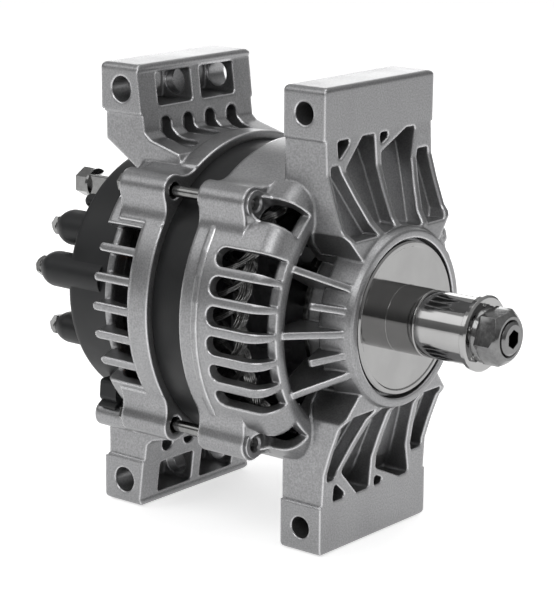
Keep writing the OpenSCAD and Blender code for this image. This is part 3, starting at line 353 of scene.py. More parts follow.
class Shader:
    """Small builder for one node material, on Object coordinates."""

    def __init__(self, name):
        self.material = bpy.data.materials.new(name)
        self.material.use_nodes = True
        self.tree = self.material.node_tree
        self.tree.nodes.clear()
        self.output = self.add("ShaderNodeOutputMaterial")
        self.surface = self.add("ShaderNodeBsdfPrincipled")
        self.join(self.surface, "BSDF", self.output, "Surface")
        self.coordinates = self.add("ShaderNodeTexCoord")

    def add(self, kind, **values):
        node = self.tree.nodes.new(kind)
        for key, value in values.items():
            setattr(node, key, value)
        return node

    def join(self, source, source_socket, target, target_socket):
        self.tree.links.new(source.outputs[source_socket], target.inputs[target_socket])

    def set(self, **values):
        for key, value in values.items():
            self.surface.inputs[key.replace("_", " ")].default_value = value

    def noise(self, scale, detail=3.0, roughness=0.55, stretch=(1, 1, 1)):
        mapping = self.add("ShaderNodeMapping")
        mapping.inputs["Scale"].default_value = stretch
        self.join(self.coordinates, "Object", mapping, "Vector")
        noise = self.add("ShaderNodeTexNoise")
        noise.inputs["Scale"].default_value = scale
        noise.inputs["Detail"].default_value = detail
        noise.inputs["Roughness"].default_value = roughness
        self.join(mapping, "Vector", noise, "Vector")
        return noise

    def spread(self, pattern, low=0.0, high=1.0, from_low=0.35, from_high=0.65):
        """Spreads the middle of a pattern from one value to another."""
        node = self.add("ShaderNodeMapRange")
        node.inputs["From Min"].default_value = from_low
        node.inputs["From Max"].default_value = from_high
        node.inputs["To Min"].default_value = low
        node.inputs["To Max"].default_value = high
        self.join(pattern, "Fac", node, "Value")
        return node

    def tint(self, colour, pattern, darker, lighter):
        """Colour that follows a pattern between two shades of one colour."""
        mix = self.add("ShaderNodeMix", data_type="RGBA")
        mix.inputs[MIX_COLOUR_A].default_value = shade_of(colour, darker)
        mix.inputs[MIX_COLOUR_B].default_value = shade_of(colour, lighter)
        self.join(self.spread(pattern), "Result", mix, MIX_FACTOR)
        return mix

    def show_colour(self, mix):
        self.join(mix, MIX_COLOUR_OUT, self.surface, "Base Color")

    def paint(self, colour, pattern, darker, lighter):
        self.show_colour(self.tint(colour, pattern, darker, lighter))

    def roughen(self, pattern, low, high):
        self.join(self.spread(pattern, low, high), "Result", self.surface, "Roughness")

    def bump(self, pattern, strength, distance, before=None):
        node = self.add("ShaderNodeBump")
        node.inputs["Strength"].default_value = strength
        node.inputs["Distance"].default_value = distance
        self.join(pattern, "Fac", node, "Height")
        if before is not None:
            self.join(before, "Normal", node, "Normal")
        return node

    def show_relief(self, bump):
        self.join(bump, "Normal", self.surface, "Normal")

    def soft_edges(self, radius, samples=4):
        node = self.add("ShaderNodeBevel", samples=samples)
        node.inputs["Radius"].default_value = radius
        return node

    def edge_mask(self, bevel, start=0.985, end=0.8):
        """1 along edges, where the rounded normal leaves the flat one, and 0 elsewhere."""
        geometry = self.add("ShaderNodeNewGeometry")
        dot = self.add("ShaderNodeVectorMath", operation="DOT_PRODUCT")
        self.join(bevel, "Normal", dot, 0)
        self.join(geometry, "Normal", dot, 1)
        mask = self.add("ShaderNodeMapRange")
        mask.inputs["From Min"].default_value = start
        mask.inputs["From Max"].default_value = end
        self.join(dot, "Value", mask, "Value")
        return mask

    def outer_only(self, mask, radius, start=0.98, end=0.7):
        """Keeps a mask on edges that stand out, where a short ray into the piece comes out again."""
        inside = self.add("ShaderNodeAmbientOcclusion", samples=4, inside=True, only_local=True)
        inside.inputs["Distance"].default_value = radius
        thin = self.add("ShaderNodeMapRange")
        thin.inputs["From Min"].default_value = start
        thin.inputs["From Max"].default_value = end
        self.join(inside, "AO", thin, "Value")
        both = self.add("ShaderNodeMath", operation="MULTIPLY")
        self.join(mask, "Result", both, 0)
        self.join(thin, "Result", both, 1)
        return both


def cast_aluminium(name, colour, edge_radius):
    """Shot-blasted die casting: fine grain, faint flow marks, edges polished by handling, and a painted
    highlight that brightens the outer edges.
    """
    s = Shader(name)
    bevel = s.soft_edges(edge_radius, samples=12)
    grain = s.noise(scale=1500, detail=2.0, roughness=0.6)
    flow = s.noise(scale=38, detail=4.0, stretch=(1, 1, 0.5))
    fleck = s.spread(s.noise(scale=1250, detail=2.0), 0.8, 1.2, from_low=0.3, from_high=0.7)
    flecked = s.add("ShaderNodeMix", data_type="RGBA", blend_type="MULTIPLY")
    flecked.inputs[MIX_FACTOR].default_value = 1
    s.join(s.tint(colour, flow, darker=0.93, lighter=1.06), MIX_COLOUR_OUT, flecked, MIX_COLOUR_A)
    s.join(fleck, "Result", flecked, MIX_COLOUR_B)
    # Mask of the outer edges: it paints a highlight into the colour and makes the polish smoother
    polish_and_painted_highlight = s.add("ShaderNodeMath", operation="MULTIPLY")
    polish_and_painted_highlight.inputs[1].default_value = EDGE_POLISH_AND_HIGHLIGHT
    s.join(s.outer_only(s.edge_mask(bevel), edge_radius), "Value", polish_and_painted_highlight, 0)
    # Painted highlight: the base colour is brightened along the outer edges
    painted_highlight_edges = s.add("ShaderNodeMix", data_type="RGBA")
    painted_highlight_edges.inputs[MIX_COLOUR_B].default_value = shade_of(colour, EDGE_PAINTED_HIGHLIGHT)
    s.join(polish_and_painted_highlight, "Value", painted_highlight_edges, MIX_FACTOR)
    s.join(flecked, MIX_COLOUR_OUT, painted_highlight_edges, MIX_COLOUR_A)
    s.show_colour(painted_highlight_edges)
    rubbed = s.add("ShaderNodeMix", data_type="FLOAT")
    rubbed.inputs[MIX_NUMBER_B].default_value = EDGE_ROUGHNESS
    s.join(polish_and_painted_highlight, "Value", rubbed, MIX_FACTOR)
    s.join(s.spread(flow, low=0.3, high=0.38), "Result", rubbed, MIX_NUMBER_A)
    s.join(rubbed, MIX_NUMBER_OUT, s.surface, "Roughness")
    waves = s.bump(flow, strength=0.12, distance=0.4 * MM, before=bevel)
    s.show_relief(s.bump(grain, strength=0.22, distance=0.05 * MM, before=waves))
    s.set(Metallic=0.85)
    return s.material


def turned_steel(name, colour, roughness=0.09):
    """Turned and polished steel: fine rings round the shaft and slight smears."""
    s = Shader(name)
    bevel = s.soft_edges(0.35 * MM)
    rings = s.noise(scale=900, detail=2.0, roughness=0.6, stretch=(1, 0.02, 0.02))
    smear = s.noise(scale=60, roughness=0.5)
    s.roughen(smear, roughness * 0.75, roughness * 1.35)
    s.paint(colour, smear, darker=0.95, lighter=1.04)
    s.show_relief(s.bump(rings, strength=0.06, distance=0.03 * MM, before=bevel))
    s.set(Metallic=1.0)
    return s.material


def plated_steel(name, colour, roughness=0.16):
    """Zinc-plated fasteners: a slightly cloudy bright coat."""
    s = Shader(name)
    bevel = s.soft_edges(0.3 * MM)
    cloud = s.noise(scale=420, roughness=0.6)
    s.roughen(cloud, roughness * 0.7, roughness * 1.4)
    s.paint(colour, cloud, darker=0.85, lighter=1.1)
    s.show_relief(s.bump(cloud, strength=0.1, distance=0.04 * MM, before=bevel))
    s.set(Metallic=1.0)
    return s.material


def moulded_plastic(name, colour, roughness=0.5, edge=0.5 * MM):
    """Glass-filled moulding: eroded tool texture and faint flow shades."""
    s = Shader(name)
    bevel = s.soft_edges(edge)
    texture = s.noise(scale=2200, detail=2.0, roughness=0.6)
    flow = s.noise(scale=45, roughness=0.5)
    s.roughen(flow, roughness * 0.88, roughness * 1.12)
    s.paint(colour, flow, darker=0.85, lighter=1.2)
    s.show_relief(s.bump(texture, strength=0.3, distance=0.03 * MM, before=bevel))
    s.set(Specular_IOR_Level=0.35)
    return s.material


def lamination_pack(name, colour):
    """Varnished sheet pack: thin lines of the sheets' edges across a dark satin coat."""
    s = Shader(name)
    wave = s.add("ShaderNodeTexWave", wave_type="BANDS", bands_direction="X")
    wave.inputs["Scale"].default_value = 320
    wave.inputs["Distortion"].default_value = 0.4
    wave.inputs["Detail"].default_value = 1.0
    s.join(s.coordinates, "Object", wave, "Vector")
    patch = s.noise(scale=55, detail=4.0, roughness=0.6)
    s.roughen(patch, 0.38, 0.62)
    s.paint(colour, patch, darker=0.8, lighter=1.5)
    lines = s.bump(wave, strength=0.35, distance=0.06 * MM)
    s.show_relief(s.bump(patch, strength=0.25, distance=0.3 * MM, before=lines))
    s.set(Specular_IOR_Level=0.3, Coat_Weight=0.08, Coat_Roughness=0.35)
    return s.material


def varnished_wire(name, colour, roughness=0.22):
    """Enamelled wire under impregnating varnish: dark, glossy and uneven."""
    s = Shader(name)
    drops = s.noise(scale=260, roughness=0.6)
    s.paint(colour, drops, darker=0.6, lighter=1.5)
    s.roughen(drops, roughness * 0.6, roughness * 1.8)
    s.show_relief(s.bump(drops, strength=0.3, distance=0.15 * MM))
    s.set(Metallic=0.75, Coat_Weight=1.0, Coat_Roughness=0.08)
    return s.material


def bare_copper(name, colour, roughness=0.25):
    """Drawn copper with a little tarnish."""
    s = Shader(name)
    tarnish = s.noise(scale=130, detail=4.0, roughness=0.6)
    s.paint(colour, tarnish, darker=0.6, lighter=1.15)
    s.roughen(tarnish, roughness * 0.7, roughness * 1.6)
    s.show_relief(s.bump(tarnish, strength=0.08, distance=0.1 * MM, before=s.soft_edges(0.2 * MM)))
    s.set(Metallic=1.0)
    return s.material


def pressed_iron(name, colour):
    """Forged and pressed rotor iron with a thin dark paint."""
    s = Shader(name)
    bevel = s.soft_edges(0.6 * MM)
    rind = s.noise(scale=320, detail=4.0, roughness=0.65)
    s.paint(colour, rind, darker=0.7, lighter=1.2)
    s.roughen(rind, 0.4, 0.6)
    s.show_relief(s.bump(rind, strength=0.3, distance=0.12 * MM, before=bevel))
    s.set(Metallic=0.6)
    return s.material


def carbon_block(name, colour):
    """Pressed carbon of the brushes, dull and slightly sparkling."""
    s = Shader(name)
    grit = s.noise(scale=1800, roughness=0.7)
    s.paint(colour, grit, darker=0.6, lighter=1.8)
    s.roughen(grit, 0.45, 0.75)
    s.show_relief(s.bump(grit, strength=0.3, distance=0.04 * MM, before=s.soft_edges(0.2 * MM)))
    s.set(Metallic=0.2)
    return s.material


CORE_NODE = "stator_core"
CAST_NODES = ("drive_end_frame", "slip_ring_end_frame")
TURNED_NODES = ("front_spacer", "shipping_sleeve", "pulley_washer")
PLATED_NODES = (
    "tie_bolts", "retainer_screws", "regulator_screws", "plate_screws", "cover_screws", "signal_washers",
    "signal_nuts", "signal_studs", "output_washer", "output_nut", "output_stud", "output_block",
    "bearing_retainer")
BEARING_NODES = (
    "front_bearing_outer_race", "front_bearing_inner_race", "front_bearing_balls",
    "rear_bearing_outer_race", "rear_bearing_inner_race", "rear_bearing_balls")
CAGE_NODES = ("front_bearing_cage", "rear_bearing_cage")
SHIELD_NODES = ("front_bearing_shields", "rear_bearing_shields")
PLASTIC_NODES = ("rear_cover", "cover_plug", "brush_holder", "voltage_regulator")
INSULATOR_NODES = ("coil_bobbin", "plate_insulators")
IRON_NODES = ("front_claw_pole", "rear_claw_pole", "front_fan", "rear_fan")
PLATE_NODES = ("positive_plate", "negative_plate", "positive_diodes", "negative_diodes")
BRUSH_NODES = ("inner_brush", "outer_brush")
SPRING_NODES = ("inner_brush_spring", "outer_brush_spring")

# Colours of what is small or hidden
FIELD_COPPER = (0.2, 0.05, 0.02)
COIL_VARNISH = (0.26, 0.258, 0.254)
WINDING_VARNISH = (0.02, 0.012, 0.009)
RING_COPPER = (0.6, 0.27, 0.14)
LEAD_COPPER = (0.42, 0.17, 0.09)
CAGE_BRASS = (0.5, 0.34, 0.12)
BEARING_STEEL = (0.6, 0.6, 0.61)
SPRING_STEEL = (0.36, 0.36, 0.37)
ROTOR_IRON = (0.09, 0.09, 0.095)
PLATE_ALUMINIUM = (0.5, 0.5, 0.505)
SHIELD_RUBBER = (0.02, 0.02, 0.02)
WHITE_INSULATION = (0.62, 0.58, 0.48)
BROWN_INSULATION = (0.1, 0.035, 0.018)
BRUSH_CARBON = (0.035, 0.035, 0.038)


def dress(names, material):
    for name in names:
        wear_material(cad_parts[name], material)


# Camera and studio


SENSOR_WIDTH = 36
NEAR_CLIP = 0.05
FAR_CLIP = 40

# Each light: its name, place, width and height, and the setting that holds its power
LIGHTS = (
    ("key_light", (0.35, -1.1, 1.1), 0.9, 0.7, "key_power"),
    ("nose_light", (1.3, 0.15, 0.35), 0.6, 0.8, "fill_power"),
    ("left_light", (-0.95, -0.95, 0.95), 0.9, 0.7, "left_power"),
    ("top_light", (-0.1, 0.1, 1.4), 1.2, 0.8, "top_power"),
    ("back_light", (-0.85, 1.15, 0.45), 1.5, 0.55, "back_power"),
)
LIGHT_AIM = (-0.02, 0, 0)
FLOOR_SIZE = 30
FLOOR_GAP = 0.5 * MM
WHITE = (1, 1, 1, 1)

# Heights of the direction between which the surroundings go from one level to the other
RISE_START = 0.05
RISE_END = 0.75


class ALTERNATOR_OT_camera(bpy.types.Operator):
    """Place the camera at the photograph's viewing angle"""

    bl_idname = "alternator.camera"
    bl_label = "Photo camera"

    def execute(self, context):
        p = context.scene.alternator_camera
        back = Vector((math.sin(p.azimuth) * math.cos(p.elevation),
                       -math.cos(p.azimuth) * math.cos(p.elevation), math.sin(p.elevation)))
        level = Vector((math.cos(p.azimuth), math.sin(p.azimuth), 0))
        upright = back.cross(level)
        right = level * math.cos(p.roll) + upright * math.sin(p.roll)
        up = upright * math.cos(p.roll) - level * math.sin(p.roll)
        eye = right * p.slide_right + up * p.slide_up + back * p.distance + Vector((p.aim_x, 0, 0))
        clear_selection()
        bpy.ops.object.camera_add(location=eye)
        camera = newest()
        camera.name = "photo_camera"
        camera.matrix_world = Matrix((
            (right.x, up.x, back.x, eye.x), (right.y, up.y, back.y, eye.y),
            (right.z, up.z, back.z, eye.z), (0, 0, 0, 1)))
        camera.data.sensor_width = SENSOR_WIDTH
        camera.data.lens = p.focal_length
        camera.data.clip_start = NEAR_CLIP
        camera.data.clip_end = FAR_CLIP
        context.scene.camera = camera
        return {"FINISHED"}


class ALTERNATOR_OT_studio(bpy.types.Operator):
    """Set out the pale floor, the soft lights and the white surroundings"""

    bl_idname = "alternator.studio"
    bl_label = "Studio"

    def light(self, name, place, width, height, power):
        clear_selection()
        bpy.ops.object.light_add(type="AREA", location=place)
        lamp = newest()
        lamp.name = name
        lamp.data.shape = "RECTANGLE"
        lamp.data.size = width
        lamp.data.size_y = height
        lamp.data.energy = power
        aim = Vector(LIGHT_AIM) - Vector(place)
        lamp.rotation_euler = aim.to_track_quat("-Z", "Y").to_euler()

    def floor_material(self, colour, glow):
        """Matt floor that adds white where it is seen straight, in a mirror or through a piece."""
        s = Shader("studio_floor")
        s.paint(colour, s.noise(scale=3, detail=2.0), darker=0.995, lighter=1.005)
        s.set(Roughness=0.9, Specular_IOR_Level=0.1, Emission_Color=WHITE)
        path = s.add("ShaderNodeLightPath")
        seen = s.add("ShaderNodeMath", operation="MAXIMUM")
        shown = s.add("ShaderNodeMath", operation="MAXIMUM")
        level = s.add("ShaderNodeMath", operation="MULTIPLY")
        level.inputs[1].default_value = glow
        s.join(path, "Is Camera Ray", seen, 0)
        s.join(path, "Is Glossy Ray", seen, 1)
        s.join(seen, "Value", shown, 0)
        s.join(path, "Is Transmission Ray", shown, 1)
        s.join(shown, "Value", level, 0)
        s.join(level, "Value", s.surface, "Emission Strength")
        return s.material

    def surroundings(self, scene, horizon, zenith):
        world = bpy.data.worlds.new("studio")
        scene.world = world
        world.use_nodes = True
        tree = world.node_tree
        tree.nodes.clear()
        output = tree.nodes.new("ShaderNodeOutputWorld")
        sky = tree.nodes.new("ShaderNodeBackground")
        place = tree.nodes.new("ShaderNodeTexCoord")
        split = tree.nodes.new("ShaderNodeSeparateXYZ")
        rise = tree.nodes.new("ShaderNodeMapRange")
        rise.interpolation_type = "SMOOTHSTEP"
        rise.inputs["From Min"].default_value = RISE_START
        rise.inputs["From Max"].default_value = RISE_END
        rise.inputs["To Min"].default_value = horizon
        rise.inputs["To Max"].default_value = zenith
        sky.inputs["Color"].default_value = WHITE
        tree.links.new(place.outputs["Generated"], split.inputs["Vector"])
        tree.links.new(split.outputs["Z"], rise.inputs["Value"])
        tree.links.new(rise.outputs["Result"], sky.inputs["Strength"])
        tree.links.new(sky.outputs["Background"], output.inputs["Surface"])

    def execute(self, context):
        p = context.scene.alternator_studio
        for name, place, width, height, power in LIGHTS:
            self.light(name, place, width, height, getattr(p, power))
        clear_selection()
        bpy.ops.mesh.primitive_plane_add(size=FLOOR_SIZE, location=(0, 0, cad_bounds[0][2] - FLOOR_GAP))
        floor = newest()
        floor.name = "studio_floor"
        settle(floor)
        wear_material(floor, self.floor_material(p.floor_colour, p.floor_glow))
        self.surroundings(context.scene, p.horizon_level, p.zenith_level)
        context.scene.view_settings.view_transform = "Standard"
        return {"FINISHED"}


# Finishes and pieces


class ALTERNATOR_OT_finishes(bpy.types.Operator):
    """Give every fixed node its material"""

    bl_idname = "alternator.finishes"
    bl_label = "Finishes"

    def execute(self, context):
        p = context.scene.alternator_finish
        dress(CAST_NODES, cast_aluminium("cast_aluminium", p.cast_colour, p.cast_edge))
        dress((CORE_NODE,), lamination_pack("lamination_steel", p.core_colour))
        dress(("field_coil",), varnished_wire("varnished_copper", FIELD_COPPER))
        dress(TURNED_NODES, turned_steel("turned_steel", p.steel_colour))
        dress(("collar",), turned_steel("polished_collar", p.collar_colour, 0.06))
        dress(("pulley_nut",), plated_steel("nut_steel", p.nut_colour, 0.12))
        dress(("rotor_shaft",), turned_steel("shaft_steel", p.nut_colour, 0.16))
        dress(PLATED_NODES, plated_steel("zinc_steel", p.zinc_colour))
        dress(BEARING_NODES, turned_steel("bearing_steel", BEARING_STEEL, 0.07))
        dress(CAGE_NODES, bare_copper("cage_brass", CAGE_BRASS, 0.3))
        dress(SHIELD_NODES, moulded_plastic("shield_rubber", SHIELD_RUBBER, 0.6, edge=0.1 * MM))
        dress(PLASTIC_NODES, moulded_plastic("black_plastic", p.plastic_colour, 0.48))
        dress(IRON_NODES, pressed_iron("rotor_iron", ROTOR_IRON))
        dress(INSULATOR_NODES, moulded_plastic("white_insulation", WHITE_INSULATION, edge=0.3 * MM))
        dress(("slip_ring_body",),
              moulded_plastic("brown_insulation", BROWN_INSULATION, 0.4, edge=0.3 * MM))
        dress(("slip_rings",), bare_copper("ring_copper", RING_COPPER, 0.16))
        dress(("phase_leads",), bare_copper("lead_copper", LEAD_COPPER, 0.3))
        dress(BRUSH_NODES, carbon_block("carbon", BRUSH_CARBON))
        dress(SPRING_NODES, plated_steel("spring_steel", SPRING_STEEL, 0.3))
        dress(PLATE_NODES, plated_steel("plate_aluminium", PLATE_ALUMINIUM, 0.4))
        dress(("stator_windings",), varnished_wire("winding_varnish", WINDING_VARNISH))
        return {"FINISHED"}


# End windings: wires in rows below one another and in columns side by side
WIRE_ROWS = 4
WIRE_COLUMNS = 3
ROW_STEP = 1.3 * MM
OUTER_ROW = 67.2 * MM
INNER_ROW = 61.2 * MM
REACH_MARGIN = 0.75 * MM

# One end turn: its points, its straight root, its roundness, its bulge, and how loosely the wires lie
TURN_STEPS = 11
TURN_ROOT = 1.5 * MM
TURN_ROUNDNESS = 0.75
TURN_BULGE = 1.2 * MM
ROW_SINK = 1.05
SLACK_ACROSS = 0.2 * MM
SLACK_ALONG = 0.25 * MM
COIL_VARIANTS = 3
DICE_SEED = 11


class ALTERNATOR_OT_coils(bpy.types.Operator):
    """Wind the stator's coils, whose end turns show through both end frames"""

    bl_idname = "alternator.coils"
    bl_label = "Stator coils"

    def end_turn(self, row, column, root_x, reach, span, dice, side):
        """One end turn, from the outer side of the coil to the inner one."""
        across = (column - (WIRE_COLUMNS - 1) / 2) * ROW_STEP
        outer = OUTER_ROW - row * ROW_STEP
        inner = INNER_ROW - row * ROW_STEP
        bundle = OUTER_ROW - (WIRE_ROWS - 1) / 2 * ROW_STEP
        points = []
        for i in range(TURN_STEPS):
            t = i / (TURN_STEPS - 1)
            rise = math.sin(math.pi * t) ** TURN_ROUNDNESS
            middle = blend_value(bundle, bundle - OUTER_ROW + INNER_ROW, t) + across + TURN_BULGE * rise
            radius = blend_value(blend_value(outer, inner, t), middle, rise)
            radius += dice.uniform(-1, 1) * SLACK_ACROSS * rise
            angle = span * t + across / radius * (1 - rise)
            x = root_x + side * (TURN_ROOT + (reach - TURN_ROOT - row * ROW_STEP * ROW_SINK) * rise)
            x += dice.uniform(-1, 1) * SLACK_ALONG * rise
            points.append((x, -radius * math.cos(angle), radius * math.sin(angle)))
        return points

    def wire(self, row, column, p, dice):
        """One wire of a coil: through the core, round both ends and back to its start."""
        low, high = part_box(CORE_NODE)
        span = p.coil_span * 2 * math.pi / p.slots
        front = self.end_turn(row, column, high[0], p.front_reach - REACH_MARGIN, span, dice, 1)
        rear = self.end_turn(row, column, low[0], p.rear_reach - REACH_MARGIN, span, dice, -1)
        start = ((low[0] + high[0]) / 2, *front[0][1:])
        return tube_along([start, *front, *rear[::-1], start], p.wire_diameter / 2)

    def execute(self, context):
        p = context.scene.alternator_winding
        pitch = 2 * math.pi / p.slots
        dice = random.Random(DICE_SEED)
        families = []
        for variant in range(COIL_VARIANTS):
            wires = [self.wire(row, column, p, dice)
                     for row in range(WIRE_ROWS) for column in range(WIRE_COLUMNS)]
            coil = join_pieces(wires, "coil")
            select_only(coil)
            turn_about_shaft(variant * pitch)
            settle(coil)
            families.append(
                turned_copies(coil, p.slots // COIL_VARIANTS, COIL_VARIANTS * pitch, "coil_family"))
        coils = join_pieces(families, "stator_coils")
        settle(coils)
        smooth(coils, 60)
        wear_material(coils, varnished_wire("coil_varnish", COIL_VARNISH, 0.13))
        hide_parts("stator_windings")
        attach(coils, "housing")
        return {"FINISHED"}


# Nut on the nose, a hexagon on a conical foot, and the marks that were punched round it
NUT_FLATS = 6
NUT_CORNER = math.radians(51)
NUT_FOOT_RADIUS = 13.4 * MM
NUT_NECK_RADIUS = 12.4 * MM
NUT_FOOT_DEPTH = 2.0 * MM
NUT_FRONT_RADIUS = 10.3 * MM
NUT_CHAMFER = math.radians(42)
NUT_BORE = 8.05 * MM
NUT_SINK = 1.0 * MM
NUT_EDGE = 0.25 * MM
CUT_MARGIN = 0.5 * MM
CHAMFER_LIP = 0.01 * MM
PUNCH_CIRCLE = 14.4 * MM
PUNCH_RADIUS = 0.8 * MM
PUNCH_RIM = 0.28 * MM


class ALTERNATOR_OT_nose_nut(bpy.types.Operator):
    """Chamfer the nut on the nose, and punch the marks that hold its washer"""

    bl_idname = "alternator.nose_nut"
    bl_label = "Nose nut"

    def cone(self, start_radius, end_radius, start_x, end_x):
        clear_selection()
        bpy.ops.mesh.primitive_cone_add(
            vertices=CONE_SIDES, radius1=start_radius, radius2=end_radius, depth=end_x - start_x,
            location=((start_x + end_x) / 2, 0, 0), rotation=ALONG_SHAFT)
        cone = newest()
        settle(cone)
        return cone

    def combine(self, nut, tool, operation):
        select_only(nut)
        bpy.ops.object.modifier_add(type="BOOLEAN")
        modifier = nut.modifiers[-1]
        modifier.operation = operation
        modifier.object = tool
        apply_modifiers(nut)
        select_only(tool)
        bpy.ops.object.delete()

    def bevel(self, nut):
        select_only(nut)
        bpy.ops.object.modifier_add(type="BEVEL")
        bevel = nut.modifiers[-1]
        bevel.width = NUT_EDGE
        bevel.segments = 2
        bevel.limit_method = "ANGLE"
        apply_modifiers(nut)

    def hexagon(self, start_x, end_x, flat):
        """Six-sided bar with one corner at its angle from -Y towards +Z."""
        bar = bar_along_shaft(flat / math.cos(math.pi / NUT_FLATS), start_x, end_x, NUT_FLATS)
        corner = bar.data.vertices[0].co
        turn_about_shaft(NUT_CORNER - math.atan2(corner.z, -corner.y))
        settle(bar)
        return bar

    def nut(self, colour):
        low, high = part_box("pulley_nut")
        face_x, end_x = low[0], high[0]
        start_x = face_x + NUT_FOOT_DEPTH
        nut = self.hexagon(start_x, end_x, min(high[1], high[2]))
        wide_radius = NUT_FRONT_RADIUS + (end_x - start_x) / math.tan(NUT_CHAMFER)
        chamfer = self.cone(wide_radius, NUT_FRONT_RADIUS, start_x - CHAMFER_LIP, end_x)
        self.combine(nut, chamfer, "INTERSECT")
        foot = self.cone(NUT_FOOT_RADIUS, NUT_NECK_RADIUS, face_x, start_x)
        self.combine(nut, foot, "UNION")
        bore = self.cone(NUT_BORE, NUT_BORE, face_x - CUT_MARGIN, end_x + CUT_MARGIN)
        self.combine(nut, bore, "DIFFERENCE")
        inner_x = end_x - NUT_SINK - CUT_MARGIN
        outer_x = end_x + CUT_MARGIN
        sink = self.cone(NUT_BORE - CUT_MARGIN, NUT_BORE + NUT_SINK + CUT_MARGIN, inner_x, outer_x)
        self.combine(nut, sink, "DIFFERENCE")
        self.bevel(nut)
        smooth(nut, 30)
        name_piece(nut, "pulley_nut_chamfered")
        wear_material(nut, plated_steel(nut.name, colour, 0.16))
        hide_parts("pulley_nut")
        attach(nut, "rotor")

    def punch_marks(self, colour):
        face_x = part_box("pulley_washer")[1][0]
        clear_selection()
        bpy.ops.mesh.primitive_torus_add(
            major_radius=PUNCH_RADIUS, minor_radius=PUNCH_RIM, major_segments=28, minor_segments=10,
            location=(face_x, -PUNCH_CIRCLE, 0), rotation=ALONG_SHAFT)
        mark = newest()
        settle(mark)
        turn_about_shaft(NUT_CORNER - math.pi / NUT_FLATS)
        settle(mark)
        marks = turned_copies(mark, NUT_FLATS, 2 * math.pi / NUT_FLATS, "washer_punch_marks")
        settle(marks)
        smooth(marks, 60)
        wear_material(marks, turned_steel(marks.name, colour))
        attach(marks, "rotor")

    def execute(self, context):
        p = context.scene.alternator_finish
        self.nut(p.nut_colour)
        self.punch_marks(p.steel_colour)
        return {"FINISHED"}


SPRING_TURNS = 5
SPRING_WIRE = 0.3 * MM
SPRING_SIDES = 10


class ALTERNATOR_OT_springs(bpy.types.Operator):
    """Wind the two brush springs"""

    bl_idname = "alternator.springs"
    bl_label = "Brush springs"

    def wind(self, node, joint):
        low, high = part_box(node)
        x, y = (low[0] + high[0]) / 2, (low[1] + high[1]) / 2
        radius = (high[1] - low[1]) / 2 - SPRING_WIRE
        height = high[2] - low[2]
        clear_selection()
        bpy.ops.mesh.primitive_circle_add(
            vertices=SPRING_SIDES, radius=SPRING_WIRE, fill_type="NGON",
            location=(radius, 0, SPRING_WIRE), rotation=(math.pi / 2, 0, 0))
        spring = newest()
        settle(spring)
        sweep(spring, (height - 2 * SPRING_WIRE) / SPRING_TURNS, SPRING_TURNS)
        spring.location = (x, y, low[2])
        settle(spring)
        fix_normals(spring)
        smooth(spring, 50)
        name_piece(spring, node + "_coil")
        wear_material(spring, plated_steel(spring.name, SPRING_STEEL, 0.3))
        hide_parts(node)
        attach(spring, "housing")
        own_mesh(spring)

    def execute(self, context):
        self.wind("inner_brush_spring", "inner_brush_slide")
        self.wind("outer_brush_spring", "outer_brush_slide")
        return {"FINISHED"}


# Round seats in the four lobes, round the ends of the tie bolts
BOLT_CIRCLE = 82 * MM
LOBES = 4
FIRST_LOBE = math.radians(45)
SEAT_RADIUS = 6.6 * MM
SEAT_HOLE = 3.1 * MM
SEAT_FACE_X = -15.2 * MM
SEAT_LENGTH = 14 * MM
SEAT_CHAMFER = 0.8 * MM
SEAT_EDGE = 0.8 * MM
SEAT_HOLE_DEPTH = SEAT_LENGTH / 3


class ALTERNATOR_OT_bolt_seats(bpy.types.Operator):
    """Cast the round seats that close the lobes round the ends of the tie bolts"""

    bl_idname = "alternator.bolt_seats"
    bl_label = "Bolt seats"

    def execute(self, context):
        seat = bar_along_shaft(SEAT_RADIUS, SEAT_FACE_X - SEAT_LENGTH, SEAT_FACE_X, SEAT_SIDES)
        pick_end_face(seat, 1)
        bpy.ops.mesh.inset(thickness=SEAT_RADIUS - SEAT_HOLE - SEAT_CHAMFER, depth=0)
        bpy.ops.mesh.extrude_region_move(TRANSFORM_OT_translate={"value": (-SEAT_CHAMFER, 0, 0)})
        shrink = SEAT_HOLE / (SEAT_HOLE + SEAT_CHAMFER)
        bpy.ops.transform.resize(value=(1, shrink, shrink), center_override=(SEAT_FACE_X, 0, 0))
        bpy.ops.mesh.extrude_region_move(TRANSFORM_OT_translate={"value": (-SEAT_HOLE_DEPTH, 0, 0)})
        bpy.ops.object.mode_set(mode="OBJECT")
        seat.location = (0, -BOLT_CIRCLE, 0)
        settle(seat)
        turn_about_shaft(FIRST_LOBE)
        settle(seat)
        seats = turned_copies(seat, LOBES, 2 * math.pi / LOBES, "bolt_seats")
        settle(seats)
        smooth(seats, 35)
        finish = context.scene.alternator_finish
        wear_material(seats, cast_aluminium("cast_seat", finish.cast_colour, SEAT_EDGE))
        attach(seats, "housing")
        return {"FINISHED"}


# Studs that stand out of the rear cover: distance from the shaft, and angle from -Y towards +Z
SIGNAL_POSTS = ((55.0 * MM, 30.5), (58.0 * MM, 8.1), (55.0 * MM, -24.9))
SIGNAL_TIPS = (-157.4 * MM, -159.2 * MM, -157.3 * MM)
SIGNAL_RADIUS = 2.5 * MM
OUTPUT_RADIUS = 3.275 * MM

# Tip of a stud: its length, and how much of the width is left at its end
TIP_LENGTH = 2.2 * MM
TIP_SHARE = 0.42


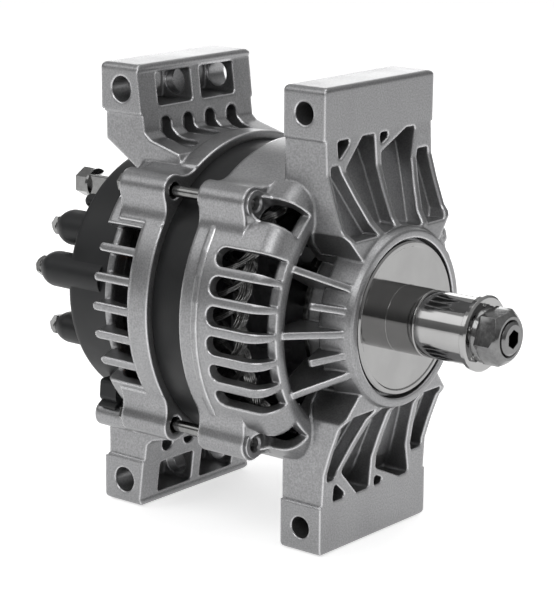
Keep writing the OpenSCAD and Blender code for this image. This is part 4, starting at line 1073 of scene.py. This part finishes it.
class ALTERNATOR_OT_studs(bpy.types.Operator):
    """Turn the terminal studs, with their tapered tips"""

    bl_idname = "alternator.studs"
    bl_label = "Terminal studs"

    def stud(self, radius, tip_x, root_x, y, z):
        stud = bar_along_shaft(radius, tip_x + TIP_LENGTH, root_x, STUD_SIDES)
        pick_end_face(stud, -1)
        bpy.ops.mesh.extrude_region_move(TRANSFORM_OT_translate={"value": (-TIP_LENGTH, 0, 0)})
        bpy.ops.transform.resize(value=(1, TIP_SHARE, TIP_SHARE), center_override=(tip_x, 0, 0))
        bpy.ops.object.mode_set(mode="OBJECT")
        stud.location = (0, y, z)
        settle(stud)
        fix_normals(stud)
        return stud

    def finish(self, stud, node):
        smooth(stud, 32)
        colour = bpy.context.scene.alternator_finish.zinc_colour
        wear_material(stud, plated_steel(stud.name, colour, 0.12))
        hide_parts(node)
        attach(stud, "housing")

    def execute(self, context):
        low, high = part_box("output_stud")
        y, z = (low[1] + high[1]) / 2, (low[2] + high[2]) / 2
        output = self.stud(OUTPUT_RADIUS, low[0], high[0], y, z)
        self.finish(name_piece(output, "output_stud_threaded"), "output_stud")
        low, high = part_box("signal_studs")
        posts = []
        for (distance, angle), tip_x in zip(SIGNAL_POSTS, SIGNAL_TIPS):
            turn = math.radians(angle)
            y, z = -distance * math.cos(turn), distance * math.sin(turn)
            posts.append(self.stud(SIGNAL_RADIUS, tip_x, high[0], y, z))
        self.finish(join_pieces(posts, "signal_studs_threaded"), "signal_studs")
        return {"FINISHED"}


SETTINGS = (
    ("alternator_camera", CameraSettings),
    ("alternator_studio", StudioSettings),
    ("alternator_finish", FinishSettings),
    ("alternator_winding", WindingSettings),
)

OPERATORS = (
    ALTERNATOR_OT_camera,
    ALTERNATOR_OT_studio,
    ALTERNATOR_OT_finishes,
    ALTERNATOR_OT_coils,
    ALTERNATOR_OT_nose_nut,
    ALTERNATOR_OT_springs,
    ALTERNATOR_OT_bolt_seats,
    ALTERNATOR_OT_studs,
)


class ALTERNATOR_PT_sidebar(bpy.types.Panel):
    """Sizes, finishes and steps of the alternator"""

    bl_idname = "ALTERNATOR_PT_sidebar"
    bl_label = "Alternator"
    bl_space_type = "VIEW_3D"
    bl_region_type = "UI"
    bl_category = "Alternator"

    def draw(self, context):
        layout = self.layout
        for operator in OPERATORS:
            layout.operator(operator.bl_idname)
        for name, group in SETTINGS:
            box = layout.box()
            settings = getattr(context.scene, name)
            for prop in group.__annotations__:
                box.prop(settings, prop)


def register():
    for name, group in SETTINGS:
        bpy.utils.register_class(group)
        setattr(bpy.types.Scene, name, bpy.props.PointerProperty(type=group))
    for operator in OPERATORS:
        bpy.utils.register_class(operator)
    bpy.utils.register_class(ALTERNATOR_PT_sidebar)


def unregister():
    bpy.utils.unregister_class(ALTERNATOR_PT_sidebar)
    for operator in reversed(OPERATORS):
        bpy.utils.unregister_class(operator)
    for name, group in reversed(SETTINGS):
        delattr(bpy.types.Scene, name)
        bpy.utils.unregister_class(group)


def main():
    register()
    bpy.ops.alternator.camera()
    bpy.ops.alternator.studio()
    bpy.ops.alternator.finishes()
    bpy.ops.alternator.coils()
    bpy.ops.alternator.nose_nut()
    bpy.ops.alternator.springs()
    bpy.ops.alternator.bolt_seats()
    bpy.ops.alternator.studs()


if __name__ == "__main__":
    main()
